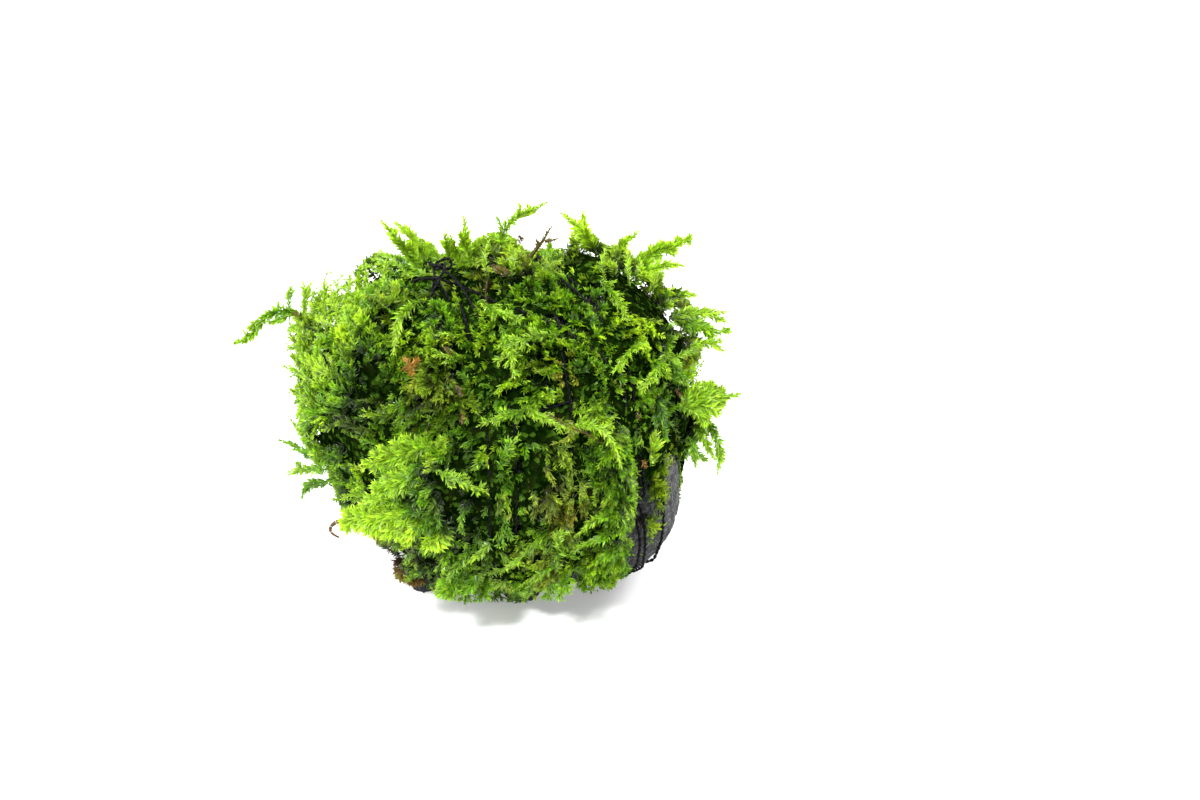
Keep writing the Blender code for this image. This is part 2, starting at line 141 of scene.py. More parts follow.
# The lava stone: a lump of grey, porous lava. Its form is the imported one, remeshed finely, roughened, and
# pitted by gas bubbles. Its feet stay flat where it stands.
STONE_GRAIN = 0.66
STONE_ROUNDING = 5
STONE_LUMPS = ((5.0, 0.5), (1.9, 0.26))  # size and height
STONE_PORES = ((3.4, 0.75), (1.8, 0.45))  # size of a cell that may hold a pore, and its depth
SOLE_FADE = 1.5  # height over which the roughness grows above the ground
STONE_COLOURS = ((0.42, (0.003, 0.003, 0.004)), (0.50, (0.014, 0.015, 0.016)), (0.61, (0.13, 0.134, 0.138)))
# Painted shade in the pores: each size darkens the colour there, as well as shaping the bump.
PORE_BUMPS_AND_SHADE = ((620.0, 0.9), (1350.0, 0.75))  # of the colour and bump: scale, and how far they darken
PORE_RADII = (0.12, 0.42)  # the smallest, and how much larger the largest is, as shares of a cell
DEEP_PORE = 0.35  # radius from which a pore has its full depth
CHANCE_FACTORS = np.array([73856093, 19349663, 83492791])  # large odd numbers that part near cells


def cell_chance(cells, seed):
    """A number from 0 to 1 for each cell of a grid: its numbers times large ones, mixed, then scaled."""
    mixed = (cells.astype(np.int64) * CHANCE_FACTORS).sum(axis=-1) + seed * 668265263
    mixed = (mixed ^ (mixed >> 13)) * 1274126177
    mixed = (mixed ^ (mixed >> 16)) & 0xFFFFFF
    return mixed / 0xFFFFFF


def lumps(places, size, seed):
    """Smooth noise from -1 to 1: chance values at a grid's corners, eased from one corner to the next."""
    places = places / size
    corner = np.floor(places).astype(int)
    share = places - corner
    share = share * share * (3 - 2 * share)
    total = np.zeros(len(places))
    for step in np.ndindex(2, 2, 2):
        weight = np.prod(np.where(step, share, 1 - share), axis=1)
        total += weight * cell_chance(corner + step, seed)
    return 2 * total - 1


def pores(places, size, seed):
    """Round pits, 0 outside to 1 at the bottom: each cell has one ball of chance place and radius cut out."""
    cell = np.floor(places / size).astype(int)
    depth = np.zeros(len(places))
    for step in np.ndindex(3, 3, 3):
        near = cell + step - 1
        middle = near + np.stack([cell_chance(near, seed + axis) for axis in range(3)], axis=1)
        radius = PORE_RADII[0] + PORE_RADII[1] * cell_chance(near, seed + 3) ** 2
        apart = np.linalg.norm(places / size - middle, axis=1) / radius
        ball = np.sqrt(np.clip(1 - apart**2, 0, 1))
        depth = np.maximum(depth, ball * np.minimum(1, radius / DEEP_PORE))
    return depth


def corners_of(node):
    """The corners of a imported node's triangles, in millimetres: three to a triangle."""
    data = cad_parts[node].data
    places = np.empty(len(data.vertices) * 3)
    data.vertices.foreach_get("co", places)
    order = np.empty(len(data.loops), int)
    data.loops.foreach_get("vertex_index", order)
    return places.reshape(-1, 3)[order].reshape(-1, 3, 3) / MM


def length_of(vectors):
    """The length of each vector, kept as a column."""
    return np.linalg.norm(vectors, axis=-1, keepdims=True)


def unit(vectors):
    """Each vector, at a length of 1."""
    return vectors / np.maximum(length_of(vectors), 1e-9)


def fine_copy(node, grain, rounding):
    """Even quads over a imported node, smoothed: corners in millimetres, faces, and outward normals."""
    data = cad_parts[node].data.copy()
    merged = bmesh.new()
    merged.from_mesh(data)
    bmesh.ops.remove_doubles(merged, verts=merged.verts[:], dist=MM * 0.001)
    merged.to_mesh(data)
    merged.free()
    copy = bpy.data.objects.new("fine_copy", data)
    bpy.context.scene.collection.objects.link(copy)
    remesh = copy.modifiers.new("grain", "REMESH")
    remesh.mode = "VOXEL"
    remesh.voxel_size = grain * MM
    even = copy.modifiers.new("rounding", "SMOOTH")
    even.factor = 0.5
    even.iterations = rounding
    bpy.context.view_layer.update()
    seen = copy.evaluated_get(bpy.context.evaluated_depsgraph_get())
    mesh = seen.to_mesh()
    places = np.empty(len(mesh.vertices) * 3)
    mesh.vertices.foreach_get("co", places)
    normals = np.empty(len(mesh.vertices) * 3)
    mesh.vertices.foreach_get("normal", normals)
    faces = np.empty(len(mesh.loops), int)
    mesh.loops.foreach_get("vertex_index", faces)
    seen.to_mesh_clear()
    bpy.data.objects.remove(copy)
    return places.reshape(-1, 3) / MM, faces.reshape(-1, 4), normals.reshape(-1, 3)


def piece_of(name, places, faces, finish, stands_for=()):
    """A smooth-shaded piece from corners in millimetres and rows of corner numbers, riding on the model."""
    data = bpy.data.meshes.new(name)
    data.vertices.add(len(places))
    data.vertices.foreach_set("co", (places * MM).ravel())
    data.loops.add(faces.size)
    data.loops.foreach_set("vertex_index", faces.ravel())
    data.polygons.add(len(faces))
    data.polygons.foreach_set("loop_start", np.arange(0, faces.size, faces.shape[1]))
    data.polygons.foreach_set("use_smooth", np.ones(len(faces), bool))
    data.update(calc_edges=True)
    data.materials.append(finish)
    piece = bpy.data.objects.new(name, data)
    bpy.context.scene.collection.objects.link(piece)
    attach(piece, "root")
    if stands_for:
        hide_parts(*stands_for)
    return piece


def node_in(tree, kind, **values):
    """A shader node with these values set, each on its input socket or else on its own property."""
    made = tree.nodes.new(kind)
    for key, value in values.items():
        if key in made.inputs:
            made.inputs[key].default_value = value
        else:
            setattr(made, key, value)
    return made


def ramp_in(tree, stops):
    """A colour ramp with these stops: a place from 0 to 1 and a linear colour each."""
    made = tree.nodes.new("ShaderNodeValToRGB")
    elements = made.color_ramp.elements
    while len(elements) < len(stops):
        elements.new(0.5)
    for element, (place, colour) in zip(elements, stops):
        element.position = place
        element.color = (*colour, 1)
    return made


def link_in(tree, *rows):
    """Links in a node tree. Each row is a node and its output, then the node and the input that it feeds."""
    for source, output, target, socket in rows:
        tree.links.new(source.outputs[output], target.inputs[socket])


def lava_finish():
    """Grey lava: paler in noise patches, with painted shade in its pores, which come in two sizes with grit
    between.
    """
    finish, tree, shader = new_finish("lava_stone", {"Roughness": 0.7, "Specular IOR Level": 0.35})
    place = node_in(tree, "ShaderNodeTexCoord")
    patches = node_in(tree, "ShaderNodeTexNoise", Scale=950.0, Detail=8.0, Roughness=0.75)
    colours = ramp_in(tree, STONE_COLOURS)
    grit = node_in(tree, "ShaderNodeTexNoise", Scale=1900.0, Detail=6.0, Roughness=0.8)
    link_in(tree, (place, "Object", patches, "Vector"), (place, "Object", grit, "Vector"),
            (patches, "Fac", colours, "Fac"))
    colour, depth = (colours, "Color"), (grit, "Fac")
    # Each pore size darkens the colour as painted shade in its pores, and deepens the bump.
    for scale, share in PORE_BUMPS_AND_SHADE:
        holes = node_in(tree, "ShaderNodeTexVoronoi", Scale=scale)
        hole_depth_and_shade = ramp_in(tree, ((0.16, (0.03, 0.03, 0.03)), (0.36, (1, 1, 1))))
        shade = node_in(tree, "ShaderNodeMix", data_type="RGBA", blend_type="MULTIPLY", Factor=share)
        together = node_in(tree, "ShaderNodeMath", operation="MULTIPLY")
        link_in(tree, (place, "Object", holes, "Vector"), (holes, "Distance", hole_depth_and_shade, "Fac"),
                (*colour, shade, "A"), (hole_depth_and_shade, "Color", shade, "B"),
                (*depth, together, 0), (hole_depth_and_shade, "Color", together, 1))
        colour, depth = (shade, "Result"), (together, "Value")
    bump = node_in(tree, "ShaderNodeBump", Strength=1.0, Distance=0.0009)
    link_in(tree, (*colour, shader, "Base Color"), (*depth, bump, "Height"),
            (bump, "Normal", shader, "Normal"))
    return finish


places, faces, normals = fine_copy("lava_stone", STONE_GRAIN, STONE_ROUNDING)
relief = sum(height * lumps(places, size, 5) for size, height in STONE_LUMPS)
relief -= sum(depth * pores(places, size, 21) for size, depth in STONE_PORES)
places += normals * (relief * np.clip(places[:, 2] / SOLE_FADE, 0, 1))[:, None]
places[:, 2] = np.maximum(places[:, 2], 0)
piece_of("lava_stone_rough", places, faces, lava_finish(), ["lava_stone"])

# The binding thread: black, of two plies twisted together, wound round the stone and the moss. Each ply is
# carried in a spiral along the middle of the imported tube.
THREAD_RADIUS = 0.33
PLY_RADIUS = 0.19
TWIST_LENGTH = 2.3  # of thread for one turn of the twist
TWIST_STEPS = 7
PLY_SIDES = 4
THREAD_ROUNDING = 2.6  # length over which the thread's bends are eased
THREAD_SINK = 0.9  # where it lies in the light on top of the moss
CREVICE_SINK = 1.3  # where it shows at the bottom of a crevice
HIDDEN_SINK = 2.0  # elsewhere, between the shoots
STONE_GAP = 0.2
SINK_STATIONS = 6  # to each side, over which the sinking is eased
NO_MOSS = 1.0  # depth given to the mat where it has none
KNOT_ROUNDING = 0.7
LAID_ROUNDING = 1.4  # of the thread once it is drawn in
TIP_ABOVE = 0.9  # of the tips of the knot's loose ends over the moss
KNOT_ABOVE = 4.5  # the most that the knot itself stands over it
END_SHARE = 0.2  # of the knot's line that each loose end takes
NEAR_SIDE = 8.0  # depth beyond the heart's up to which the picture's stretches and bare places count
LIT_THREAD = (  # stretches of thread that lie on top of the moss, in the picture's pixels
    ((412, 279), (459, 279), (484, 288)),
    ((436, 268), (446, 261), (457, 275), (468, 335)),
    ((459, 283), (478, 330)),
    ((638, 282), (648, 295)),
)
SUNK_THREAD = (  # stretches that show at the bottom of a crevice
    ((500, 296), (544, 313), (560, 320), (580, 330)),
    ((562, 268), (584, 290), (595, 310)),
    ((580, 316), (592, 336), (606, 360), (610, 384), (616, 404), (620, 422)),
    ((488, 428), (492, 470), (491, 540)),
    ((520, 424), (522, 440)),
    ((515, 490), (513, 530)),
    ((564, 350), (568, 416)),
    ((575, 440), (577, 530)),
    ((540, 410), (570, 403)),
    ((645, 430), (647, 470), (641, 540), (630, 562)),
    ((640, 450), (641, 500), (636, 560)),
    ((672, 465), (671, 500), (665, 530), (640, 560)),
    ((367, 458), (368, 492)),
)
LIT_WIDTH = 7.0
RING_TOLERANCE = 0.004
TUBE_SIDES = 4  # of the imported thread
# Nearly black fibre; the palest stop is painted highlight specks where the noise runs high.
THREAD_COLOURS_AND_HIGHLIGHTS = (
    (0.38, (0.001, 0.0012, 0.0014)), (0.60, (0.003, 0.0034, 0.004)), (0.76, (0.022, 0.024, 0.027)),
)


def tube_middle(node):
    """The middle line of a packed four-sided tube of thread.

    Its corners are sorted into rings, which edges of exactly a ring's side join, and the rings are walked
    from one end to the other.
    """
    corners = corners_of(node).reshape(-1, 3)
    places, number = np.unique(corners.round(4), axis=0, return_inverse=True)
    triangles = number.reshape(-1, 3)
    edges = np.concatenate([triangles[:, [0, 1]], triangles[:, [1, 2]], triangles[:, [2, 0]]])
    edges = np.concatenate([edges, edges[:, ::-1]])
    lengths = np.linalg.norm(places[edges[:, 0]] - places[edges[:, 1]], axis=1)
    in_ring = np.abs(lengths - THREAD_RADIUS * math.sqrt(2)) < RING_TOLERANCE
    ring = np.arange(len(places))
    for _ in range(TUBE_SIDES):
        np.minimum.at(ring, edges[in_ring, 0], ring[edges[in_ring, 1]])
    names, ring = np.unique(ring, return_inverse=True)
    middles = np.stack([np.bincount(ring, places[:, axis]) for axis in range(3)], axis=1)
    middles /= np.bincount(ring)[:, None]
    pairs = np.unique(ring[edges], axis=0)
    pairs = pairs[pairs[:, 0] != pairs[:, 1]]
    beside = [pairs[pairs[:, 0] == i, 1].tolist() for i in range(len(names))]
    walk = [next(i for i, others in enumerate(beside) if len(others) == 1)]
    while len(walk) < len(names):
        walk.append(next(i for i in beside[walk[-1]] if len(walk) < 2 or i != walk[-2]))
    return middles[walk]


def eased_line(line, step, rounding):
    """Points this far apart along a line, each moved to the mean of its neighbours within the rounding."""
    along = np.concatenate([[0], np.cumsum(np.linalg.norm(np.diff(line, axis=0), axis=1))])
    places = np.linspace(0, along[-1], max(int(along[-1] / step), 8))
    fine = np.stack([np.interp(places, along, line[:, axis]) for axis in range(3)], axis=1)
    reach = max(int(rounding / step / 2), 1)
    padded = np.concatenate([np.repeat(fine[:1], reach, axis=0), fine, np.repeat(fine[-1:], reach, axis=0)])
    total = np.cumsum(np.concatenate([np.zeros((1, 3)), padded]), axis=0)
    return (total[2 * reach + 1 :] - total[: -2 * reach - 1]) / (2 * reach + 1)


def tube_faces(stations, sides, first):
    """Quads between the rings of a tube whose corners are numbered ring by ring from the first."""
    station, side = np.meshgrid(np.arange(stations - 1), np.arange(sides), indexing="ij")
    after = (side + 1) % sides
    near, far = station * sides, (station + 1) * sides
    return np.stack([near + side, near + after, far + after, far + side], axis=-1).reshape(-1, 4) + first


def square_to(vectors, axes):
    """What is left of each vector without its part along the axis beside it."""
    return vectors - axes * (vectors * axes).sum(axis=1, keepdims=True)


def twisted_plies(line):
    """Two plies in a spiral round a line: each ring's middle circles the line once in a twist length."""
    step = np.linalg.norm(np.diff(line, axis=0), axis=1).mean()
    tangent = unit(np.gradient(line, axis=0))
    out = unit(square_to(line - HEART, tangent))
    side = np.cross(tangent, out)
    angle = 2 * math.pi * step * np.arange(len(line)) / TWIST_LENGTH
    round_ply = 2 * math.pi * np.arange(PLY_SIDES) / PLY_SIDES
    corners, faces = [], []
    for ply in range(2):
        turned = (angle + math.pi * ply)[:, None]
        spoke = out * np.cos(turned) + side * np.sin(turned)
        across = np.cross(tangent, spoke)
        middle = line + spoke * (THREAD_RADIUS - PLY_RADIUS)
        ring = spoke[:, None] * np.cos(round_ply)[:, None] + across[:, None] * np.sin(round_ply)[:, None]
        faces.append(tube_faces(len(line), PLY_SIDES, ply * len(line) * PLY_SIDES))
        corners.append((middle[:, None] + ring * PLY_RADIUS).reshape(-1, 3))
    return np.concatenate(corners), np.concatenate(faces)


TABLE_AZIMUTHS = np.radians(np.arange(0, 361, 1.0))
TABLE_ELEVATIONS = np.radians(np.arange(-90, 91, 1.0))
TABLE_START = 60.0  # from the heart, outside everything
TABLE_DEPTH = 48.0  # how far in from there a ray looks
elevation, azimuth = np.meshgrid(TABLE_ELEVATIONS, TABLE_AZIMUTHS, indexing="ij")
level = np.cos(elevation)
TABLE_RAYS = np.stack([np.cos(azimuth) * level, np.sin(azimuth) * level, np.sin(elevation)], axis=-1)
PIXEL_ROW, PIXEL_COLUMN = np.mgrid[0 : int(PICTURE[1]), 0 : int(PICTURE[0])]


def search_tree(node):
    """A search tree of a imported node's triangles, in millimetres."""
    corners = corners_of(node).reshape(-1, 3)
    return BVHTree.FromPolygons(corners.tolist(), np.arange(len(corners)).reshape(-1, 3).tolist())


def reach_table(tree, outside):
    """Distance from the heart to a surface for each degree of azimuth and elevation, 0 where there is none.

    It is measured from outside inward, or else from the heart outward.
    """
    rays = TABLE_RAYS.reshape(-1, 3)
    if outside:
        starts = HEART + rays * TABLE_START
        found = [tree.ray_cast(start, -ray, TABLE_DEPTH)[3] for start, ray in zip(starts, rays)]
        reach = [TABLE_START - distance if distance else 0 for distance in found]
    else:
        reach = [tree.ray_cast(HEART, ray, TABLE_START)[3] or 0 for ray in rays]
    return np.array(reach).reshape(TABLE_RAYS.shape[:2])


def look_up(table, places):
    """The table's distance in the direction of each place, eased between the four nearest entries."""
    out = places - HEART
    elevation = np.degrees(np.arcsin(out[:, 2] / np.linalg.norm(out, axis=1))) + 90
    azimuth = np.degrees(np.arctan2(out[:, 1], out[:, 0])) % 360
    row = np.minimum(elevation.astype(int), 179)
    column = np.minimum(azimuth.astype(int), 359)
    up, across = elevation - row, azimuth - column
    lower = table[row, column] * (1 - across) + table[row, column + 1] * across
    upper = table[row + 1, column] * (1 - across) + table[row + 1, column + 1] * across
    return lower * (1 - up) + upper * up


def bridged(table, reach):
    """The table with narrow grooves filled: the largest value within reach of each entry, then the least."""
    high, wide = table.shape
    shifts = range(2 * reach + 1)
    for pick in (np.maximum, np.minimum):
        table = np.pad(table, ((reach, reach), (0, 0)), mode="edge")
        table = np.concatenate([table[:, -reach - 1 : -1], table, table[:, 1 : reach + 1]], axis=1)
        table = pick.reduce([table[shift : shift + high] for shift in shifts])
        table = pick.reduce([table[:, shift : shift + wide] for shift in shifts])
    return table


mat_tree = search_tree("moss_mat")
stone_tree = search_tree("lava_stone")
stone_table = reach_table(stone_tree, True)
inner_table = reach_table(mat_tree, False)
mat_table = reach_table(mat_tree, True)
mat_table = np.where(mat_table > 0, mat_table, stone_table + NO_MOSS)
over_table = bridged(mat_table, 3)


def thread_finish():
    """Black spun fibre with a faint grey sheen, rough with fine fibres, and painted highlight specks."""
    finish, tree, shader = new_finish("black_thread", {"Roughness": 0.34, "Specular IOR Level": 0.12})
    place = node_in(tree, "ShaderNodeTexCoord")
    fibres = node_in(tree, "ShaderNodeTexNoise", Scale=4200.0, Detail=3.0, Roughness=0.7)
    colours = ramp_in(tree, THREAD_COLOURS_AND_HIGHLIGHTS)
    bump = node_in(tree, "ShaderNodeBump", Strength=0.7, Distance=0.0001)
    link_in(tree, (place, "Object", fibres, "Vector"), (fibres, "Fac", colours, "Fac"),
            (colours, "Color", shader, "Base Color"), (fibres, "Fac", bump, "Height"),
            (bump, "Normal", shader, "Normal"))
    return finish


def eased(share):
    """Goes smoothly from 0 to 1 as the share does."""
    share = np.clip(share, 0, 1)
    return share * share * (3 - 2 * share)


def pixel_of(places):
    """Where the camera sees each place in the picture, and how much deeper than the heart it lies."""
    away = places - EYE
    depth = away @ FORWARD
    scale = SIGHT / PIXEL_SIZE / depth
    pixels = np.stack([PICTURE[0] / 2 + away @ RIGHT * scale, PICTURE[1] / 2 - away @ UP * scale], axis=1)
    return pixels, depth - SIGHT


def pixels_near(stretches, width):
    """A map of the picture's pixels that is true within this width of the stretches."""
    bare = np.zeros(PIXEL_ROW.shape, bool)
    for stretch in stretches:
        for start, end in zip(stretch[:-1], stretch[1:]):
            across, under = PIXEL_COLUMN - float(start[0]), PIXEL_ROW - float(start[1])
            reach = np.array(end, float) - start
            share = np.clip((across * reach[0] + under * reach[1]) / (reach @ reach), 0, 1)
            bare |= np.hypot(across - share * reach[0], under - share * reach[1]) < width
    return bare


def in_map(bare, pixels):
    """Whether each pixel is marked in the map."""
    column = np.clip(pixels[:, 0].astype(int), 0, bare.shape[1] - 1)
    row = np.clip(pixels[:, 1].astype(int), 0, bare.shape[0] - 1)
    return bare[row, column]


def laid_close(line, lit, crevice):
    """The line drawn in: a little sunk in the moss where it shows, deeper elsewhere, clear of bare stone."""
    distance = length_of(line - HEART)[:, 0]
    pixels, depth = pixel_of(line)
    sink = np.where(in_map(crevice, pixels), CREVICE_SINK, HIDDEN_SINK)
    sink = np.where(in_map(lit, pixels), THREAD_SINK, sink)
    sink = np.where(depth < NEAR_SIDE, sink, HIDDEN_SINK)
    even = np.ones(2 * SINK_STATIONS + 1) / (2 * SINK_STATIONS + 1)
    sink = np.convolve(np.pad(sink, SINK_STATIONS, mode="edge"), even, mode="valid")
    on_stone = look_up(stone_table, line) + THREAD_RADIUS + STONE_GAP
    moss = look_up((mat_table > stone_table + NO_MOSS + 0.05).astype(float), line)
    over_moss = np.maximum(distance - sink, on_stone)
    drawn = on_stone * (1 - moss) + over_moss * moss
    return HEART + unit(line - HEART) * np.minimum(distance, drawn)[:, None]


def ends_laid_down(line):
    """The knot's line with its loose ends drawn in to the moss: low at both tips, as it was in between."""
    distance = length_of(line - HEART)[:, 0]
    share = np.linspace(0, 1, len(line))
    above = TIP_ABOVE + (KNOT_ABOVE - TIP_ABOVE) * eased(np.minimum(share, 1 - share) / END_SHARE)
    return HEART + unit(line - HEART) * np.minimum(distance, look_up(mat_table, line) + above)[:, None]


black_thread = thread_finish()
thread_line = eased_line(tube_middle("binding_thread"), TWIST_LENGTH / TWIST_STEPS, THREAD_ROUNDING)
lit_map = pixels_near(LIT_THREAD, LIT_WIDTH)
crevice_map = pixels_near(SUNK_THREAD, LIT_WIDTH)
thread_line = laid_close(thread_line, lit_map, crevice_map)
thread_line = eased_line(thread_line, TWIST_LENGTH / TWIST_STEPS, LAID_ROUNDING)
places, faces = twisted_plies(thread_line)
piece_of("binding_thread_plies", places, faces, black_thread, ["binding_thread"])
knot_line = eased_line(tube_middle("thread_knot"), TWIST_LENGTH / TWIST_STEPS, KNOT_ROUNDING)
places, faces = twisted_plies(ends_laid_down(knot_line))
piece_of("thread_knot_plies", places, faces, black_thread, ["thread_knot"])

# The bed of the moss: old stems and leaves packed on the stone, seen only in the gaps between shoots. Its
# near-black colour is painted shade for those gaps, over the green and brown of the old moss. It is the
# imported mat sunk inward, so that the shoots have room to stand in.
BED_GRAIN = 1.1
BED_SHARE = 0.40  # of the mat's depth that the bed fills
BED_LEAST = 1.2  # of it left over the stone
BED_ROUNDING = 2
BED_LUMPS = (1.6, 0.35)  # size and height
BED_THIN = 2.0  # depth below which the lumps shrink with it
# Painted shade: near-black green and brown for the bed deep in the gaps; a few leaves get painted light by
# chance.
BED_SHADE_COLOURS = ((0.36, (0.001, 0.004, 0.0003)), (0.52, (0.003, 0.009, 0.0008)), (0.70, (0.008, 0.010, 0.002)))
BED_LIT_LEAVES = ((0.60, (0, 0, 0)), (0.82, (0.006, 0.018, 0.001)), (0.97, (0.035, 0.075, 0.006)))  # by chance


def bed_finish():
    """Old moss in painted shade: nearly black green, brown where it has died, with a few leaves in painted
    light.
    """
    finish, tree, shader = new_finish("moss_bed", {"Roughness": 0.85, "Specular IOR Level": 0.0})
    place = node_in(tree, "ShaderNodeTexCoord")
    patches = node_in(tree, "ShaderNodeTexNoise", Scale=420.0, Detail=5.0, Roughness=0.65)
    colours = ramp_in(tree, BED_SHADE_COLOURS)
    tufts = node_in(tree, "ShaderNodeTexVoronoi", Scale=1500.0)
    each = node_in(tree, "ShaderNodeSeparateColor")
    lit = ramp_in(tree, BED_LIT_LEAVES)
    together = node_in(tree, "ShaderNodeMix", data_type="RGBA", blend_type="ADD", Factor=1.0)
    bump = node_in(tree, "ShaderNodeBump", Strength=1.0, Distance=0.0006)
    link_in(tree, (place, "Object", patches, "Vector"), (place, "Object", tufts, "Vector"),
            (patches, "Fac", colours, "Fac"), (tufts, "Color", each, "Color"), (each, "Red", lit, "Fac"),
            (colours, "Color", together, "A"), (lit, "Color", together, "B"),
            (together, "Result", shader, "Base Color"), (tufts, "Distance", bump, "Height"),
            (bump, "Normal", shader, "Normal"))
    return finish


places, faces, normals = fine_copy("moss_mat", BED_GRAIN, BED_ROUNDING)
out = places - HEART
distance = np.linalg.norm(out, axis=1)
out /= distance[:, None]
inner = np.minimum(look_up(inner_table, places), distance)
faces_out = (normals * out).sum(axis=1) > 0.1
sunk = (distance - inner) * (1 - BED_SHARE) * faces_out
sunk = np.minimum(sunk, np.maximum(distance - inner - BED_LEAST, 0))
uneven = BED_LUMPS[1] * lumps(places, BED_LUMPS[0], 8)
sunk -= uneven * faces_out * np.clip((distance - inner) / BED_THIN, 0, 1)
places -= out * sunk[:, None]
piece_of("moss_bed", places, faces, bed_finish(), ["moss_mat"])

# The leafy shoots of the mat: flattened fronds, each a stem with side shoots that shorten toward its tip, and
# single shoots between them. They root in the bed and lie like shingles, standing up on top of the stone.
FROND_COUNT = 1090
FROND_LENGTHS = (7.0, 12.5)
SIDE_SHOOTS = 4
SINGLE_COUNT = 1200
SINGLE_LENGTHS = (4.0, 9.0)
ROOT_DEPTH = 3.0  # below the mat's surface
NEAR_MORE = 0.6  # how much closer together they root on the side that the picture shows
SEEN_SIDE = (0.25, 0.4)  # how far the moss may face from the eye and still follow the picture, and over what
ON_TOP = (0.05, 0.75)  # how far it faces up where a place starts to count as high, and over what it does
BELOW = (0.1, 0.6)  # the same where it starts to count as low
ON_LEFT = (0.35, 0.5)  # the same for how far it faces left
OUTWARD = (0.42, 0.30, 0.10)  # of a stem's direction, with more on top and more on the left
SWING = 0.75  # the same for the way that its tuft or the picture's growth points
FLOW = 1.1  # of that growth, as a share of a tuft's
DROOP = (0.75, 0.3, 0.6)  # on the sides, more of it below, and the share of it that the left is without
TIP_DROOP = 0.35  # of the outer half of a stem, on the sides
TIP_LIFT = np.array([0, 0, 0.2])  # on top
TIP_CHANCE = 0.3  # of that half, any way
TUFT_SIZE = 9.0  # across which stems swing aside together
TUFT_TURN = 3.2 * math.pi  # the most
TURN_CHANCE = 0.7  # radians from stem to stem
WANDER_CHANCE = 0.55  # radians from the picture's growth, from stem to stem
WANDER_LUMPS = (6.0, 0.6)  # and together: size and radians
TONE_LUMPS = (7.0, 0.16)  # size, and how much younger or older the moss is there
TONE_MIDDLE = 0.54
SHOOT_TONE_CHANCE = 0.17
AGE_LUMPS = (9.0, 1.3)  # size, and how fast the moss yellows there
AGE_LEAST = 0.5  # height of the lumps below which it has not
AGE_MOST = 0.6
OLD_SHARE = 0.05  # of the shoots, yellowed wherever they are
OLD_AGE = 0.25
PROUD = (-1.8, 0.2)  # out of the mat
PROUD_SHARE = 0.10  # of the shoots, which stand out more
PROUD_MORE = 0.9
BRIDGE_SHARE = 0.85  # of the shoots, which cross a thread's groove
LEAF_LENGTHS = (0.85, 1.15)  # by chance, from shoot to shoot
LEAF_STEP = 0.33
LEAF_LENGTH = 1.28
LEAF_WIDTH = 0.27  # as a share of its length
LEAF_ROWS = ((0.0, 1.0, 1.0), (0.5, 1.0, 1.0), (0.16, 0.62, 0.8), (0.34, 0.62, 0.8))  # turn, opening, size
LEAF_OPENING = (0.95, 0.40, 0.26)  # radians from the stem at the foot, how much less at the tip, and chance
LEAF_TURN = 0.42  # radians by which chance turns a leaf round the stem
LEAF_ROLL = 0.5  # and round itself
LEAF_SIZES = (0.7, 1.25)  # by chance, from leaf to leaf
LEAF_WIDTHS = (0.85, 1.2)
RIB_PLACE = 0.36  # of the widest place, as a share of its length
RIB_FOLD = 0.07  # of the middle above the edges, the same
FOOT_LEAVES = (0.62, 0.38, 0.2)  # size at a shoot's foot, what it gains, and the share over which it does
TIP_LEAVES = (0.45, 0.62, 0.38)  # size lost at its tip, the share from which and over which it is
LOOK_AHEAD = 0.5  # from a leaf's foot to where its tip is about
LEAF_BEND = (-0.40, 0.18)  # of its tip down or up, as a share of its length
# The darker foot of each leaf is painted shade among the crowded leaves.
LEAF_PAINTED_SHADES = np.array([0.5, 1.0, 1.22, 1.0])  # of its colour at the foot, one side, the tip and the other
LEAF_DEEPEST = 0.9  # of the shade depth; below it nothing is seen
OFF_STONE = 0.25  # the least from a shoot's stem to the stone
OFF_GROUND = 0.4  # and to the floor
OFF_FLOOR = np.array([0, 0, 0.1])  # of any corner of a leaf
TIP_RISE = 2.4  # from a shoot's root to its tip, as it is pressed to the mat
STEM_RADIUS = 0.10
STEM_SIDES = 3
STEM_TAPER = (1.1, 0.8)  # of its radius at the foot, and lost at the tip
STEM_SHADE = 0.75  # of the leaves' colour
SIDE_START = 0.12  # share of a stem without side shoots
SIDE_PART = 0.80  # share of it along which they stand
SIDE_TAPER = 0.75  # power by which they shorten toward the stem's tip
SIDE_LENGTHS = (0.75, 1.2)
SIDE_LEAST = 0.9
SIDE_TIP = (0.45, 0.25, 0.2)  # how its tip turns along the stem, down and by chance
SIDE_LEAF = 0.88  # of the stem's leaf length
SIDE_REACH = 3.8
SIDE_OPENING = 0.9  # radians from the stem
YOUNG = np.array([0.40, 0.60, 0.028])
MATURE = np.array([0.13, 0.31, 0.010])
OLD = np.array([0.022, 0.070, 0.005])
OLIVE = np.array([0.26, 0.24, 0.022])
RUST = np.array([0.095, 0.040, 0.006])
ORANGE = np.array([0.40, 0.20, 0.016])
OLIVE_LIGHT = (0.45, 0.75)  # of an olive leaf of the oldest tone, and what a young one has more
TIP_YOUNGER = 0.30  # tone from a shoot's foot to its tip
TONE_CHANCE = 0.07  # from leaf to leaf
DEEP_OLDER = 0.5  # tone lost at the shade depth
COLOUR_CHANCE = 0.30  # logarithm of a leaf's brightness, from leaf to leaf
COLOUR_LIMITS = (0.45, 1.8)
DEEP_PAINTED_SHADE = 0.94  # share of the colour lost at the shade depth, as painted shade between the shoots
SHADE_DEPTH = 2.0  # below the mat's surface, where the leaves are darkest: partly older, partly painted shade
COVER_HEIGHT = 1.1  # of the leaves over a thread that they hide
COVER_SOON = 2.5  # how many times as fast as the shoot they rise to it
FAR_COVER = (9.0, -0.1)  # on the far side: size of the lumps, and the value from which they cover
COVER_REACH = (1.6, 5.5)  # degrees to each side over which they rise to that height
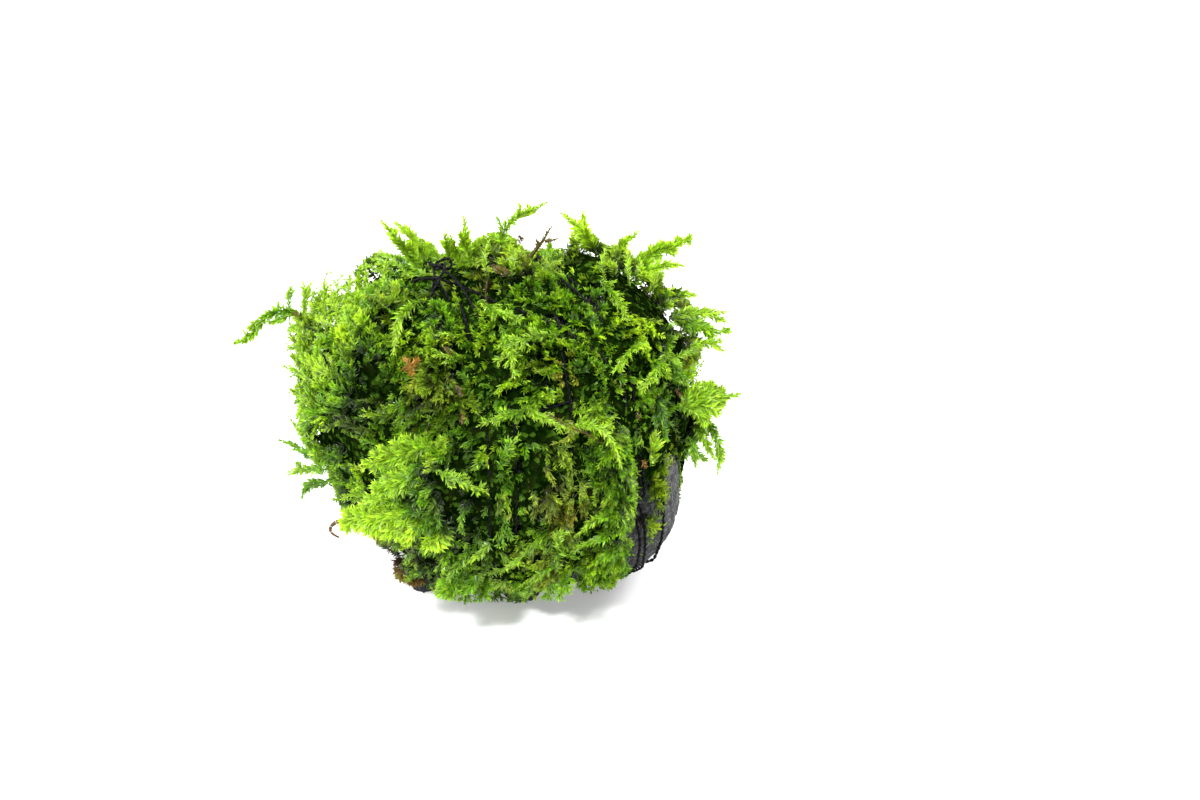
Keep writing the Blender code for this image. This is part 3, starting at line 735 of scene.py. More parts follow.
# Painted light and shade by place: the tone column lightens the top and the left rim and darkens shaded gaps,
# besides real young and old moss.
PATCH_COLOURS = (  # in the picture's pixels: a place, its radius, how much lighter in tone and how much more yellowed
    (305, 370, 55, 0.22, 0.0),
    (330, 300, 50, 0.20, 0.0),
    (385, 385, 40, -0.18, 0.0),
    (440, 385, 32, -0.30, 0.35),
    (425, 345, 18, 0.0, 0.7),
    (500, 400, 30, -0.18, 0.0),
    (530, 345, 38, 0.14, 0.0),
    (585, 355, 16, 0.1, 0.9),
    (560, 475, 32, -0.16, 0.6),
    (598, 490, 20, 0.05, 1.0),
    (600, 550, 40, -0.02, 0.0),
    (640, 370, 45, 0.12, 0.0),
    (690, 335, 12, 0.1, 1.0),
    (650, 270, 50, 0.45, 0.0),
    (600, 245, 40, 0.50, 0.0),
    (520, 285, 40, 0.15, 0.0),
    (500, 272, 20, -0.1, 0.8),
    (400, 500, 50, -0.04, 0.0),
    (480, 560, 45, 0.10, 0.15),
    (655, 450, 25, 0.10, 0.5),
    (400, 545, 20, -0.2, 1.2),
)
GROWTH_EVEN = 60.0  # square pixels near a growth entry within which it counts about the same
GROWTH = (  # in the picture's pixels: a place, and which way the shoots near it point, right and up
    (300, 330, -0.35, 1.0),
    (295, 400, -0.7, 0.7),
    (315, 455, -1.0, 0.0),
    (345, 275, -0.25, 1.0),
    (350, 345, -0.1, 1.0),
    (365, 420, -0.3, 0.8),
    (415, 255, -0.5, 0.9),
    (470, 245, 0.0, 1.0),
    (530, 245, 0.1, 1.0),
    (590, 245, -0.3, 1.0),
    (640, 265, 0.7, 0.7),
    (690, 300, 1.0, 0.25),
    (700, 340, 1.0, 0.0),
    (690, 400, 1.0, 0.0),
    (400, 320, 0.3, -0.9),
    (430, 385, -0.3, -0.9),
    (480, 320, -0.7, -0.6),
    (540, 330, -0.6, -0.8),
    (600, 320, -0.3, -1.0),
    (650, 350, 0.3, -0.9),
    (610, 400, -0.4, -0.9),
    (500, 400, -0.2, -1.0),
    (550, 420, 0.9, 0.0),
    (600, 440, 0.7, -0.7),
    (655, 440, 0.1, 1.0),
    (380, 460, -1.0, -0.1),
    (390, 515, -1.0, -0.1),
    (440, 470, -0.9, -0.2),
    (470, 540, -0.3, -1.0),
    (520, 510, 0.1, -1.0),
    (540, 580, -0.3, -0.9),
    (600, 500, -0.3, -0.9),
    (610, 550, -0.9, -0.4),
    (440, 560, -0.6, -0.8),
)
BARE_WIDTH = 2.6  # pixels to each side of a thread that shows
CLEARED_SHARE = 0.85  # of the leaves that cross a bare stretch
MAT_OUTLINE = (  # of the moss and the stone without the long fronds, in the picture's pixels
    (286, 324), (294, 305), (307, 296), (320, 290), (325, 271), (346, 269), (350, 275), (361, 264), (375, 254),
    (399, 250), (416, 244), (428, 245), (447, 257), (449, 245), (471, 237), (485, 235), (506, 233), (518, 242),
    (526, 249), (540, 251), (554, 250), (567, 255), (571, 238), (580, 232), (592, 232), (598, 243), (605, 247),
    (621, 245), (629, 250), (634, 262), (640, 263), (648, 252), (657, 262), (664, 270), (659, 281), (665, 290),
    (679, 295), (691, 308), (700, 316), (702, 326), (696, 332), (698, 345), (702, 360), (698, 370), (701, 384),
    (712, 388), (716, 400), (712, 421), (705, 434), (698, 452), (692, 464), (688, 476), (681, 500), (672, 517),
    (664, 531), (653, 551), (640, 562), (624, 573), (610, 586), (576, 592), (571, 597), (543, 600), (506, 602),
    (457, 604), (444, 599), (437, 589), (423, 580), (406, 580), (400, 568), (404, 558), (392, 550), (375, 537),
    (361, 531), (342, 525), (345, 515), (339, 501), (329, 484), (318, 470), (308, 448), (304, 434), (295, 421),
    (297, 409), (293, 395), (284, 388), (290, 380), (280, 366), (289, 362), (286, 345),
)
STONE_SHOWN = (
    (637, 516), (645, 511), (655, 515), (668, 512), (673, 500), (673, 482), (668, 462), (676, 455), (686, 452),
    (696, 462), (690, 482), (682, 502), (676, 522), (672, 538), (662, 552), (650, 562), (640, 572), (624, 584),
    (619, 580), (628, 566), (633, 550), (634, 530),
)
EDGE_LOOSENESS = 2.2  # pixels
chance = np.random.default_rng(17)


def seen_at(pixels, depth):
    """The place behind each pixel at a depth beyond the heart's."""
    reach = (SIGHT + depth)[:, None]
    off = (pixels - PICTURE / 2) * PIXEL_SIZE / SIGHT
    return EYE + reach * (FORWARD + off[:, :1] * RIGHT - off[:, 1:] * UP)


def shoots(root, bend, tip, face, **more):
    """Many shoots as arrays: the three points of each one's curve, where its flat side looks, and its leaves.

    leaf is the leaves' length, shade their colour from 0, old, to 1, young, age how far they have yellowed,
    and proud how far they may stand out of the mat. start and end are the share of a whole shoot that this
    is, and bridge is 1 where it crosses a thread's groove and 0 where it dips in.
    """
    made = {"root": root, "bend": bend, "tip": tip, "face": unit(face)}
    for key, value in {"start": 0.0, "end": 1.0, "bridge": 1.0, **more}.items():
        made[key] = np.broadcast_to(value, len(root)).astype(float)
    return made


def joined(groups):
    """Several groups of shoots as one."""
    return {key: np.concatenate([group[key] for group in groups]) for key in groups[0]}


def along(made, owner, share):
    """Place and direction at a share of each owner's curve, a parabola through its three points."""
    share = share[:, None]
    root, bend, tip = made["root"][owner], made["bend"][owner], made["tip"][owner]
    place = root * (1 - share) ** 2 + bend * 2 * share * (1 - share) + tip * share**2
    return place, unit((bend - root) * (1 - share) + (tip - bend) * share)


def share_on(made, owner, part):
    """The share of a whole shoot at a part of the way along each owner's curve."""
    return made["start"][owner] + (made["end"] - made["start"])[owner] * part


def pressed(made, owner, share, places):
    """Places moved along their ray from the heart: over the stone, and no further out than the shoot may."""
    out = places - HEART
    distance = length_of(out)[:, 0]
    lowest = look_up(stone_table, places) + OFF_STONE
    bridge = made["bridge"][owner]
    surface = look_up(over_table, places) * bridge + look_up(mat_table, places) * (1 - bridge)
    lift = look_up(cover_table, places) * bridge * (made["proud"][owner] < FROND_HOLD)
    surface += lift
    distance = distance + lift * eased(share * COVER_SOON)
    highest = surface + made["proud"][owner] + TIP_RISE * (share - 0.5)
    kept = np.clip(distance, lowest, np.maximum(highest, lowest))
    moved = HEART + out * (kept / distance)[:, None]
    moved[:, 2] = np.maximum(moved[:, 2], OFF_GROUND)
    return moved, np.clip((surface - kept) / SHADE_DEPTH, 0, 1)


def pixels_inside(outline):
    """A map of the picture's pixels inside an outline: those with an odd number of edges to their right."""
    inside = np.zeros(PIXEL_ROW.shape, bool)
    ends = np.array(outline, float)
    for start, end in zip(ends, np.roll(ends, -1, axis=0)):
        if start[1] != end[1]:
            crossed = (start[1] > PIXEL_ROW) != (end[1] > PIXEL_ROW)
            edge = start[0] + (end[0] - start[0]) * (PIXEL_ROW - start[1]) / (end[1] - start[1])
            inside ^= crossed & (PIXEL_COLUMN < edge)
    return inside


def cover_over_thread(lit):
    """How far leaves rise over the thread, for each entry of the tables.

    They rise to the cover height over the top of the thread, and ease down beside it: everywhere in the
    picture but on the stretches that show, and by chance on the far side.
    """
    line = thread_line[::4]
    pixels = pixel_of(line)[0]
    seen = (line - HEART) @ FORWARD < 0
    covered = np.where(seen, ~in_map(lit, pixels), lumps(line, FAR_COVER[0], 61) > FAR_COVER[1])
    line = line[covered]
    need = length_of(line - HEART)[:, 0] + THREAD_RADIUS + COVER_HEIGHT - look_up(over_table, line)
    ahead = unit(line - HEART)
    cover = np.zeros(TABLE_RAYS.shape[:2])
    for row, rays in enumerate(TABLE_RAYS):
        apart = np.degrees(np.arccos(np.clip(rays @ ahead.T, -1, 1)))
        share = 1 - eased((apart - COVER_REACH[0]) / (COVER_REACH[1] - COVER_REACH[0]))
        cover[row] = np.maximum(0, (share * need).max(axis=1))
    return cover


def leaf_colours(made, owner, share, deep):
    """Each leaf's colour: old to young by tone, olive, rust or orange by age, deep down older and in painted
    shade.
    """
    tone = made["shade"][owner] + TIP_YOUNGER * (share - 0.5) + TONE_CHANCE * chance.normal(size=len(owner))
    tone = np.clip(tone - DEEP_OLDER * deep, 0, 1)[:, None]
    colour = OLD + (MATURE - OLD) * np.clip(tone * 2, 0, 1) + (YOUNG - MATURE) * np.clip(tone * 2 - 1, 0, 1)
    age = made["age"][owner][:, None]
    colour = colour + (OLIVE * (OLIVE_LIGHT[0] + OLIVE_LIGHT[1] * tone) - colour) * np.clip(age, 0, 1)
    colour = colour + (RUST - colour) * np.clip(age - 1, 0, 1)
    colour = colour + (ORANGE - colour) * np.clip(age - 2, 0, 1)
    vary = np.exp(COLOUR_CHANCE * chance.normal(size=(len(owner), 1)))
    return colour * np.clip(vary, *COLOUR_LIMITS) * (1 - DEEP_PAINTED_SHADE * deep)[:, None]


def leaves_on(made, step, bare):
    """The leaves of many shoots: corners, triangles and a colour for each corner.

    A leaf is a kite of four corners, folded along its middle. At each spot along a shoot one points left,
    one right and two lie over the top; they open wide low down and close toward the tip. Few are in front
    of a bare stretch of thread.
    """
    length = (length_of(made["bend"] - made["root"]) + length_of(made["tip"] - made["bend"]))[:, 0]
    count = np.maximum(np.round(length / step).astype(int), 2)
    owner = np.repeat(np.arange(len(count)), count)
    number = np.arange(count.sum()) - np.repeat(np.cumsum(count) - count, count)
    part = (number + 0.5) / count[owner]
    place, ahead = along(made, owner, part)
    share = share_on(made, owner, part)
    place, deep = pressed(made, owner, share, place)
    pixels, depth = pixel_of(place + ahead * LOOK_AHEAD)
    pixels += EDGE_LOOSENESS * chance.normal(size=pixels.shape)
    near = depth < NEAR_SIDE
    hidden = in_map(bare[0], pixel_of(place)[0]) & near | in_map(bare[1], pixels) | (deep > LEAF_DEEPEST)
    shown = [values[~hidden] for values in (owner, share, place, ahead, deep, near)]
    owner, share, place, ahead, deep, near = shown
    face = unit(square_to(made["face"][owner], ahead))
    side = np.cross(ahead, face)
    count = len(owner)
    at_foot, gained, gained_by = FOOT_LEAVES
    lost, lost_from, lost_over = TIP_LEAVES
    wide_low, closing, by_chance = LEAF_OPENING
    grown_up = at_foot + gained * eased(share / gained_by)
    grown_up = grown_up * (1 - lost * eased((share - lost_from) / lost_over))
    corners, colours = [], []
    for order, (turned, opening, relative) in enumerate(LEAF_ROWS):
        angle = (2 * math.pi * turned + LEAF_TURN * chance.normal(size=count))[:, None]
        open_angle = (opening * (wide_low - closing * share + by_chance * chance.normal(size=count)))[:, None]
        away = side * np.cos(angle) + face * np.sin(angle)
        point = ahead * np.cos(open_angle) + away * np.sin(open_angle)
        level = unit(square_to(face, point) + 1e-4)
        beside = np.cross(level, point)
        roll = LEAF_ROLL * chance.normal(size=count)[:, None]
        normal = level * np.cos(roll) + beside * np.sin(roll)
        across = beside * np.cos(roll) - level * np.sin(roll)
        size = (made["leaf"][owner] * grown_up * chance.uniform(*LEAF_SIZES, count) * relative)[:, None]
        wide = size * LEAF_WIDTH * chance.uniform(*LEAF_WIDTHS, (count, 1)) / 2
        base = place + ahead * (step * (order / 4 - 0.4)) + away * STEM_RADIUS * 0.6
        rib = base + point * size * RIB_PLACE + normal * size * RIB_FOLD
        tip = base + point * size + normal * size * chance.uniform(*LEAF_BEND, (count, 1))
        crossed = (in_map(bare[0], pixel_of(rib)[0]) | in_map(bare[0], pixel_of(tip)[0])) & near
        kept = ~(crossed & (chance.uniform(size=count) < CLEARED_SHARE))
        corners.append(np.stack([base, rib + across * wide, tip, rib - across * wide], axis=1)[kept])
        colour = leaf_colours(made, owner, share, deep)[kept]
        colours.append(colour[:, None, :] * LEAF_PAINTED_SHADES[None, :, None])
    corners = np.concatenate(corners)
    first = np.arange(len(corners))[:, None, None] * 4
    triangles = first + np.array([[0, 2, 1], [0, 3, 2]])
    return corners.reshape(-1, 3), triangles.reshape(-1, 3), np.concatenate(colours).reshape(-1, 3)


def stems_of(made, radius, steps, bare):
    """A stem under the leaves of each shoot, thinning to its tip: corners, triangles and colours."""
    total = len(made["root"])
    owner = np.repeat(np.arange(total), steps)
    part = np.tile(np.linspace(0, 0.96, steps), total)
    share = share_on(made, owner, part)
    place, ahead = along(made, owner, part)
    place, deep = pressed(made, owner, share, place)
    face = unit(square_to(made["face"][owner], ahead))
    side = np.cross(ahead, face)
    angle = 2 * math.pi * np.arange(STEM_SIDES) / STEM_SIDES
    ring = side[:, None] * np.cos(angle)[:, None] + face[:, None] * np.sin(angle)[:, None]
    corners = place[:, None] + ring * (radius * (STEM_TAPER[0] - STEM_TAPER[1] * share))[:, None, None]
    quads = tube_faces(steps, STEM_SIDES, 0)
    triangles = np.concatenate([quads[:, [0, 1, 2]], quads[:, [0, 2, 3]]])
    triangles = (triangles + (np.arange(total) * steps * STEM_SIDES)[:, None, None]).reshape(-1, 3)
    pixels, depth = pixel_of(place)
    hidden = in_map(bare[0], pixels) & (depth < NEAR_SIDE) | in_map(bare[1], pixels) | (deep > LEAF_DEEPEST)
    shown = ~np.repeat(hidden, STEM_SIDES)
    colour = np.repeat(leaf_colours(made, owner, share, deep) * STEM_SHADE, STEM_SIDES, axis=0)
    return corners.reshape(-1, 3), triangles[shown[triangles].all(axis=1)], colour


def leaf_finish():
    """Thin wet leaves: the colour each leaf carries, light that comes through it, and small bright glints."""
    look = {"Roughness": 0.42, "Specular IOR Level": 0.3, "Coat Roughness": 0.07}
    finish, tree, shader = new_finish("moss_leaf", look)
    colour = node_in(tree, "ShaderNodeAttribute", attribute_name="leaf_colour")
    place = node_in(tree, "ShaderNodeTexCoord")
    wet = node_in(tree, "ShaderNodeTexNoise", Scale=900.0, Detail=2.0)
    wet_range = {"From Min": 0.42, "From Max": 0.6, "To Min": 0.0, "To Max": 1.0}
    gloss = node_in(tree, "ShaderNodeMapRange", **wet_range)
    grain = node_in(tree, "ShaderNodeTexNoise", Scale=2600.0, Detail=1.0)
    curl = node_in(tree, "ShaderNodeBump", Strength=1.0, Distance=0.0002)
    through = node_in(tree, "ShaderNodeBsdfTranslucent")
    warm = node_in(tree, "ShaderNodeMix", data_type="RGBA", blend_type="MULTIPLY", Factor=1.0)
    warm.inputs["B"].default_value = (1.25, 1.25, 0.55, 1)
    both = node_in(tree, "ShaderNodeMixShader", Fac=0.42)
    link_in(tree, (place, "Object", wet, "Vector"), (wet, "Fac", gloss, "Value"),
            (gloss, "Result", shader, "Coat Weight"), (place, "Object", grain, "Vector"),
            (grain, "Fac", curl, "Height"), (curl, "Normal", shader, "Coat Normal"),
            (colour, "Color", shader, "Base Color"), (colour, "Color", warm, "A"),
            (warm, "Result", through, "Color"), (shader, "BSDF", both, 1), (through, "BSDF", both, 2),
            (both, "Shader", tree.nodes["Material Output"], "Surface"))
    return finish


moss_leaf = leaf_finish()
FROND_HOLD = 90.0  # how proud the fronds are that follow lines of their own
outside_map = ~pixels_inside(MAT_OUTLINE)
thread_map = pixels_near(LIT_THREAD + SUNK_THREAD, BARE_WIDTH)
cover_table = cover_over_thread(lit_map | crevice_map)
nothing_map = np.zeros_like(thread_map)
MAT_BARE = (thread_map | pixels_inside(STONE_SHOWN), outside_map)
PATCH_BARE = (thread_map, outside_map)
NO_BARE = (nothing_map, nothing_map)


def leafy_piece(name, made, stands_for, bare, step=LEAF_STEP, stem_steps=3, radius=STEM_RADIUS):
    """Shoots with their stems and leaves as one piece, which carries the leaves' colours."""
    leaf_corners, leaf_faces, leaf_tints = leaves_on(made, step, bare)
    stem_corners, stem_faces, stem_tints = stems_of(made, radius, stem_steps, bare)
    corners = np.concatenate([leaf_corners, stem_corners])
    corners = np.clip(corners, np.array(cad_low) / MM + OFF_FLOOR, np.array(cad_high) / MM)
    faces = np.concatenate([leaf_faces, stem_faces + len(leaf_corners)])
    used, faces = np.unique(faces, return_inverse=True)
    piece = piece_of(name, corners[used], faces.reshape(-1, 3), moss_leaf, stands_for)
    tints = np.ones((len(used), 4))
    tints[:, :3] = np.concatenate([leaf_tints, stem_tints])[used]
    layer = piece.data.color_attributes.new("leaf_colour", "FLOAT_COLOR", "POINT")
    layer.data.foreach_set("color", tints.ravel())
    return piece


def side_shoots(stem, count, reach, opening):
    """Side shoots, by turns left and right of each stem, shortening toward its tip."""
    total = len(stem["root"])
    owner = np.repeat(np.arange(total), count)
    number = np.tile(np.arange(count), total)
    part = SIDE_START + SIDE_PART * (number + chance.uniform(0.2, 0.8, len(owner))) / count
    place, ahead = along(stem, owner, part)
    share = share_on(stem, owner, part)
    face = unit(square_to(stem["face"][owner], ahead))
    side = np.cross(ahead, face) * np.where(number % 2, 1, -1)[:, None]
    length = reach * (1 - share[:, None]) ** SIDE_TAPER * chance.uniform(*SIDE_LENGTHS, (len(owner), 1))
    length = length + SIDE_LEAST
    angle = opening + 0.15 * chance.normal(size=(len(owner), 1))
    start = ahead * np.cos(angle) + side * np.sin(angle)
    bend = place + start * length * 0.5
    onward, down, by_chance = SIDE_TIP
    end = unit(start + ahead * onward - face * down + by_chance * chance.normal(size=place.shape))
    tip = bend + end * length * 0.5
    more = {key: stem[key][owner] for key in ("leaf", "shade", "age", "proud", "bridge")}
    more["leaf"] = more["leaf"] * SIDE_LEAF
    return shoots(place, bend, tip, face + 0.25 * chance.normal(size=face.shape), **more)


def root_sites(count):
    """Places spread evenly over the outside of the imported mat, and the outward direction at each."""
    corners = corners_of("moss_mat")
    middle = corners.mean(axis=1)
    cross = np.cross(corners[:, 1] - corners[:, 0], corners[:, 2] - corners[:, 0])
    out = unit(middle - HEART)
    outer = (unit(cross) * out).sum(axis=1) > 0.15
    outer &= np.linalg.norm(middle - HEART, axis=1) > look_up(inner_table, middle) + 0.5
    area = length_of(cross)[:, 0] * outer * (1 + NEAR_MORE * np.clip(-(out @ FORWARD), 0, 1))
    total = np.cumsum(area)
    drawn = (np.arange(count) + chance.uniform(0, 1, count)) * total[-1] / count
    picked = np.minimum(np.searchsorted(total, drawn), len(area) - 1)
    share = chance.uniform(0, 1, (count, 2))
    share = np.where(share.sum(axis=1, keepdims=True) > 1, 1 - share, share)[..., None]
    first, second, third = corners[picked, 0], corners[picked, 1], corners[picked, 2]
    place = first + (second - first) * share[:, 0] + (third - first) * share[:, 1]
    return place, unit(unit(place - HEART) + 0.5 * unit(cross[picked]))


def grown(count, lengths):
    """Stems rooted all over the mat: outward on top, drooping on the sides, swung aside together in tufts.

    Where the picture shows them, they point the way the nearest growth entries do, weighted by distance.
    """
    place, out = root_sites(count)
    pixels = pixel_of(place)[0]
    facing = eased((SEEN_SIDE[0] - out @ FORWARD) / SEEN_SIDE[1])[:, None]
    growth = np.array(GROWTH)
    near = 1 / (((pixels[:, None] - growth[None, :, :2]) ** 2).sum(axis=-1) + GROWTH_EVEN) ** 1.5
    flow = (near[..., None] * growth[None, :, 2:]).sum(axis=1) / near.sum(axis=1, keepdims=True)
    wander = WANDER_CHANCE * chance.normal(size=count) + WANDER_LUMPS[1] * lumps(place, WANDER_LUMPS[0], 32)
    wander = wander[:, None]
    right = flow[:, :1] * np.cos(wander) - flow[:, 1:] * np.sin(wander)
    up = flow[:, :1] * np.sin(wander) + flow[:, 1:] * np.cos(wander)
    flow = unit(square_to(right * RIGHT + up * UP, out))
    high = eased((out[:, 2] - ON_TOP[0]) / ON_TOP[1])[:, None]
    low = eased((BELOW[0] - out[:, 2]) / BELOW[1])[:, None]
    left = eased((-out[:, 0] - ON_LEFT[0]) / ON_LEFT[1])[:, None]
    down = np.array([0.0, 0.0, -1.0]) + out * out[:, 2:3]
    turn_angle = (TUFT_TURN * lumps(place, TUFT_SIZE, 31) + TURN_CHANCE * chance.normal(size=count))[:, None]
    level = unit(np.cross(out, [0.03, 0.02, 1.0]))
    rise = np.cross(level, out)
    swing = level * np.cos(turn_angle) + rise * np.sin(turn_angle)
    drop = down * (DROOP[0] + DROOP[1] * low) * (1 - high) * (1 - DROOP[2] * left) * (1 - facing)
    swing += (flow * FLOW - swing) * facing
    start = unit(out * (OUTWARD[0] + OUTWARD[1] * high + OUTWARD[2] * left) + swing * SWING + drop)
    length = chance.uniform(*lengths, (count, 1))
    root = place - out * ROOT_DEPTH
    bend = root + start * length * 0.5
    end = start + down * TIP_DROOP * (1 - high) + TIP_LIFT * high
    end = unit(end + TIP_CHANCE * chance.normal(size=place.shape))
    shade = TONE_MIDDLE + TONE_LUMPS[1] * lumps(place, TONE_LUMPS[0], 41)
    shade = shade + SHOOT_TONE_CHANCE * chance.normal(size=count)
    age = np.clip(AGE_LUMPS[1] * (lumps(place, AGE_LUMPS[0], 51) - AGE_LEAST), 0, AGE_MOST)
    age = age + OLD_AGE * (chance.uniform(size=count) < OLD_SHARE)
    # Painted light and shade as well as tone: lighter on top and at the rim, darker in shaded gaps.
    for across, under, radius, tone_and_light, yellowed in PATCH_COLOURS:
        share = np.exp(-((pixels - [across, under]) ** 2).sum(axis=1) / radius**2) * facing[:, 0]
        shade += tone_and_light * share
        age += yellowed * share
    shade = np.clip(shade, 0.05, 1)
    proud = chance.uniform(*PROUD, count) + PROUD_MORE * (chance.uniform(size=count) < PROUD_SHARE)
    bridge = chance.uniform(0, 1, count) < BRIDGE_SHARE
    face = out + 0.35 * chance.normal(size=place.shape)
    leaf = LEAF_LENGTH * chance.uniform(*LEAF_LENGTHS, count)
    tip = bend + end * length * 0.5
    return shoots(root, bend, tip, face, leaf=leaf, shade=shade, age=age, proud=proud, bridge=bridge)


def curves_of(points):
    """A smooth line near its points as parabolas: they meet halfway between two points, bent toward each."""
    halves = (points[1:-2] + points[2:-1]) / 2
    root = np.concatenate([points[:1], halves])
    tip = np.concatenate([halves, points[-1:]])
    shares = np.linspace(0, 1, len(root) + 1)
    return root, points[1:-1], tip, shares[:-1], shares[1:]


def reach_at(trees, pixels):
    """The camera's ray through each pixel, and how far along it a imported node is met, endless for none."""
    rays = unit(seen_at(pixels, np.zeros(len(pixels))) - EYE)
    reach = np.full(len(rays), np.inf)
    for tree in trees:
        hits = [tree.ray_cast(EYE, ray)[3] for ray in rays]
        reach = np.minimum(reach, [np.inf if hit is None else hit for hit in hits])
    return rays, reach


def line_on_moss(line, raised):
    """The places behind a line's pixels on the mat or the stone, raised toward the eye.

    A pixel that misses both takes the reach of the nearest one in its line, or the heart's if all miss.
    """
    rays, reach = reach_at((mat_tree, stone_tree), line)
    met = np.flatnonzero(np.isfinite(reach))
    if len(met):
        reach = reach[met[np.abs(np.arange(len(rays))[:, None] - met).argmin(axis=1)]]
    else:
        reach = np.full(len(rays), SIGHT)
    return EYE + rays * reach[:, None] - FORWARD * np.broadcast_to(raised, len(line))[:, None]


def shoots_along(places, face, sides, **more):
    """A shoot that follows a line of places, and its side shoots where their number and reach are given."""
    root, bend, tip, start, end = curves_of(places)
    faces = np.tile(face, (len(root), 1))
    made = shoots(root, bend, tip, faces, start=start, end=end, proud=FROND_HOLD, **more)
    if not sides:
        return [made]
    count, reach = sides
    return [made, side_shoots(made, max(count // len(root), 1), reach, LINE_OPENING)]


def surface_shoots():
    """Shoots that follow lines of the picture just over the mat, with the side shoots each has."""
    groups = []
    for leaf, shade, age, *sides, line in SURFACE_LINES:
        line = np.array(line, float)
        raised = np.interp(np.arange(len(line)), [0, 1, len(line) - 1], LINE_RAISED)
        face = -FORWARD + 0.3 * UP + 0.3 * chance.normal(size=(1, 3))
        more = {"leaf": leaf * LINE_LEAF, "shade": shade - LINE_DARKER, "age": age}
        groups += shoots_along(line_on_moss(line, raised), face, sides, **more)
    return joined(groups)


def places_in_oval(tree, across, under, wide, high, count):
    """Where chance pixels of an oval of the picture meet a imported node. Those that miss it are left out."""
    angle = chance.uniform(0, 2 * math.pi, count)
    share = np.sqrt(chance.uniform(0, 1, count))
    pixels = np.stack([across + wide * share * np.cos(angle), under + high * share * np.sin(angle)], axis=1)
    rays, reach = reach_at((tree,), pixels)
    met = np.isfinite(reach)
    return EYE + rays[met] * reach[met, None]


def patch_shoots():
    """Short shoots rooted on the stone in ovals of the picture, where little moss has spread."""
    groups = []
    for *oval, length, shade, age, flow_right, flow_up in STONE_PATCHES:
        root = places_in_oval(stone_tree, *oval)
        out = unit(root - HEART)
        way = unit(flow_right * RIGHT + flow_up * UP + 0.7 * chance.normal(size=out.shape) + 0.5 * out)
        reach = length * chance.uniform(*PATCH_LENGTHS, (len(root), 1))
        bend = root + (way * 0.5 + out * 0.25) * reach
        tip = bend + unit(way + 0.3 * chance.normal(size=out.shape)) * reach * 0.5
        tone = shade + OVAL_TONE_CHANCE * chance.normal(size=len(root))
        more = {"leaf": PATCH_LEAF, "shade": tone, "age": age, "proud": PATCH_PROUD, "bridge": 0.0}
        groups.append(shoots(root, bend, tip, out - 0.3 * FORWARD, **more))
    return joined(groups)


def low_shoots():
    """Short shoots, dark partly as painted shade, just over the bed in ovals of the picture where few long
    ones lie.
    """
    groups = []
    for *oval, shade in LOW_PLACES:
        top = places_in_oval(mat_tree, *oval)
        out = unit(top - HEART)
        way = unit(0.55 * out + 0.6 * chance.normal(size=out.shape))
        reach = chance.uniform(*LOW_LENGTHS, (len(top), 1))
        root = top - out * LOW_ROOT
        bend = root + way * reach * 0.5
        tip = bend + unit(way + 0.4 * chance.normal(size=out.shape)) * reach * 0.5
        face = 0.4 * chance.normal(size=out.shape) - FORWARD
        tone = shade + OVAL_TONE_CHANCE * chance.normal(size=len(top))
        groups.append(shoots(root, bend, tip, face, leaf=LEAF_LENGTH, shade=tone, age=0.0, proud=0.0))
    return joined(groups)


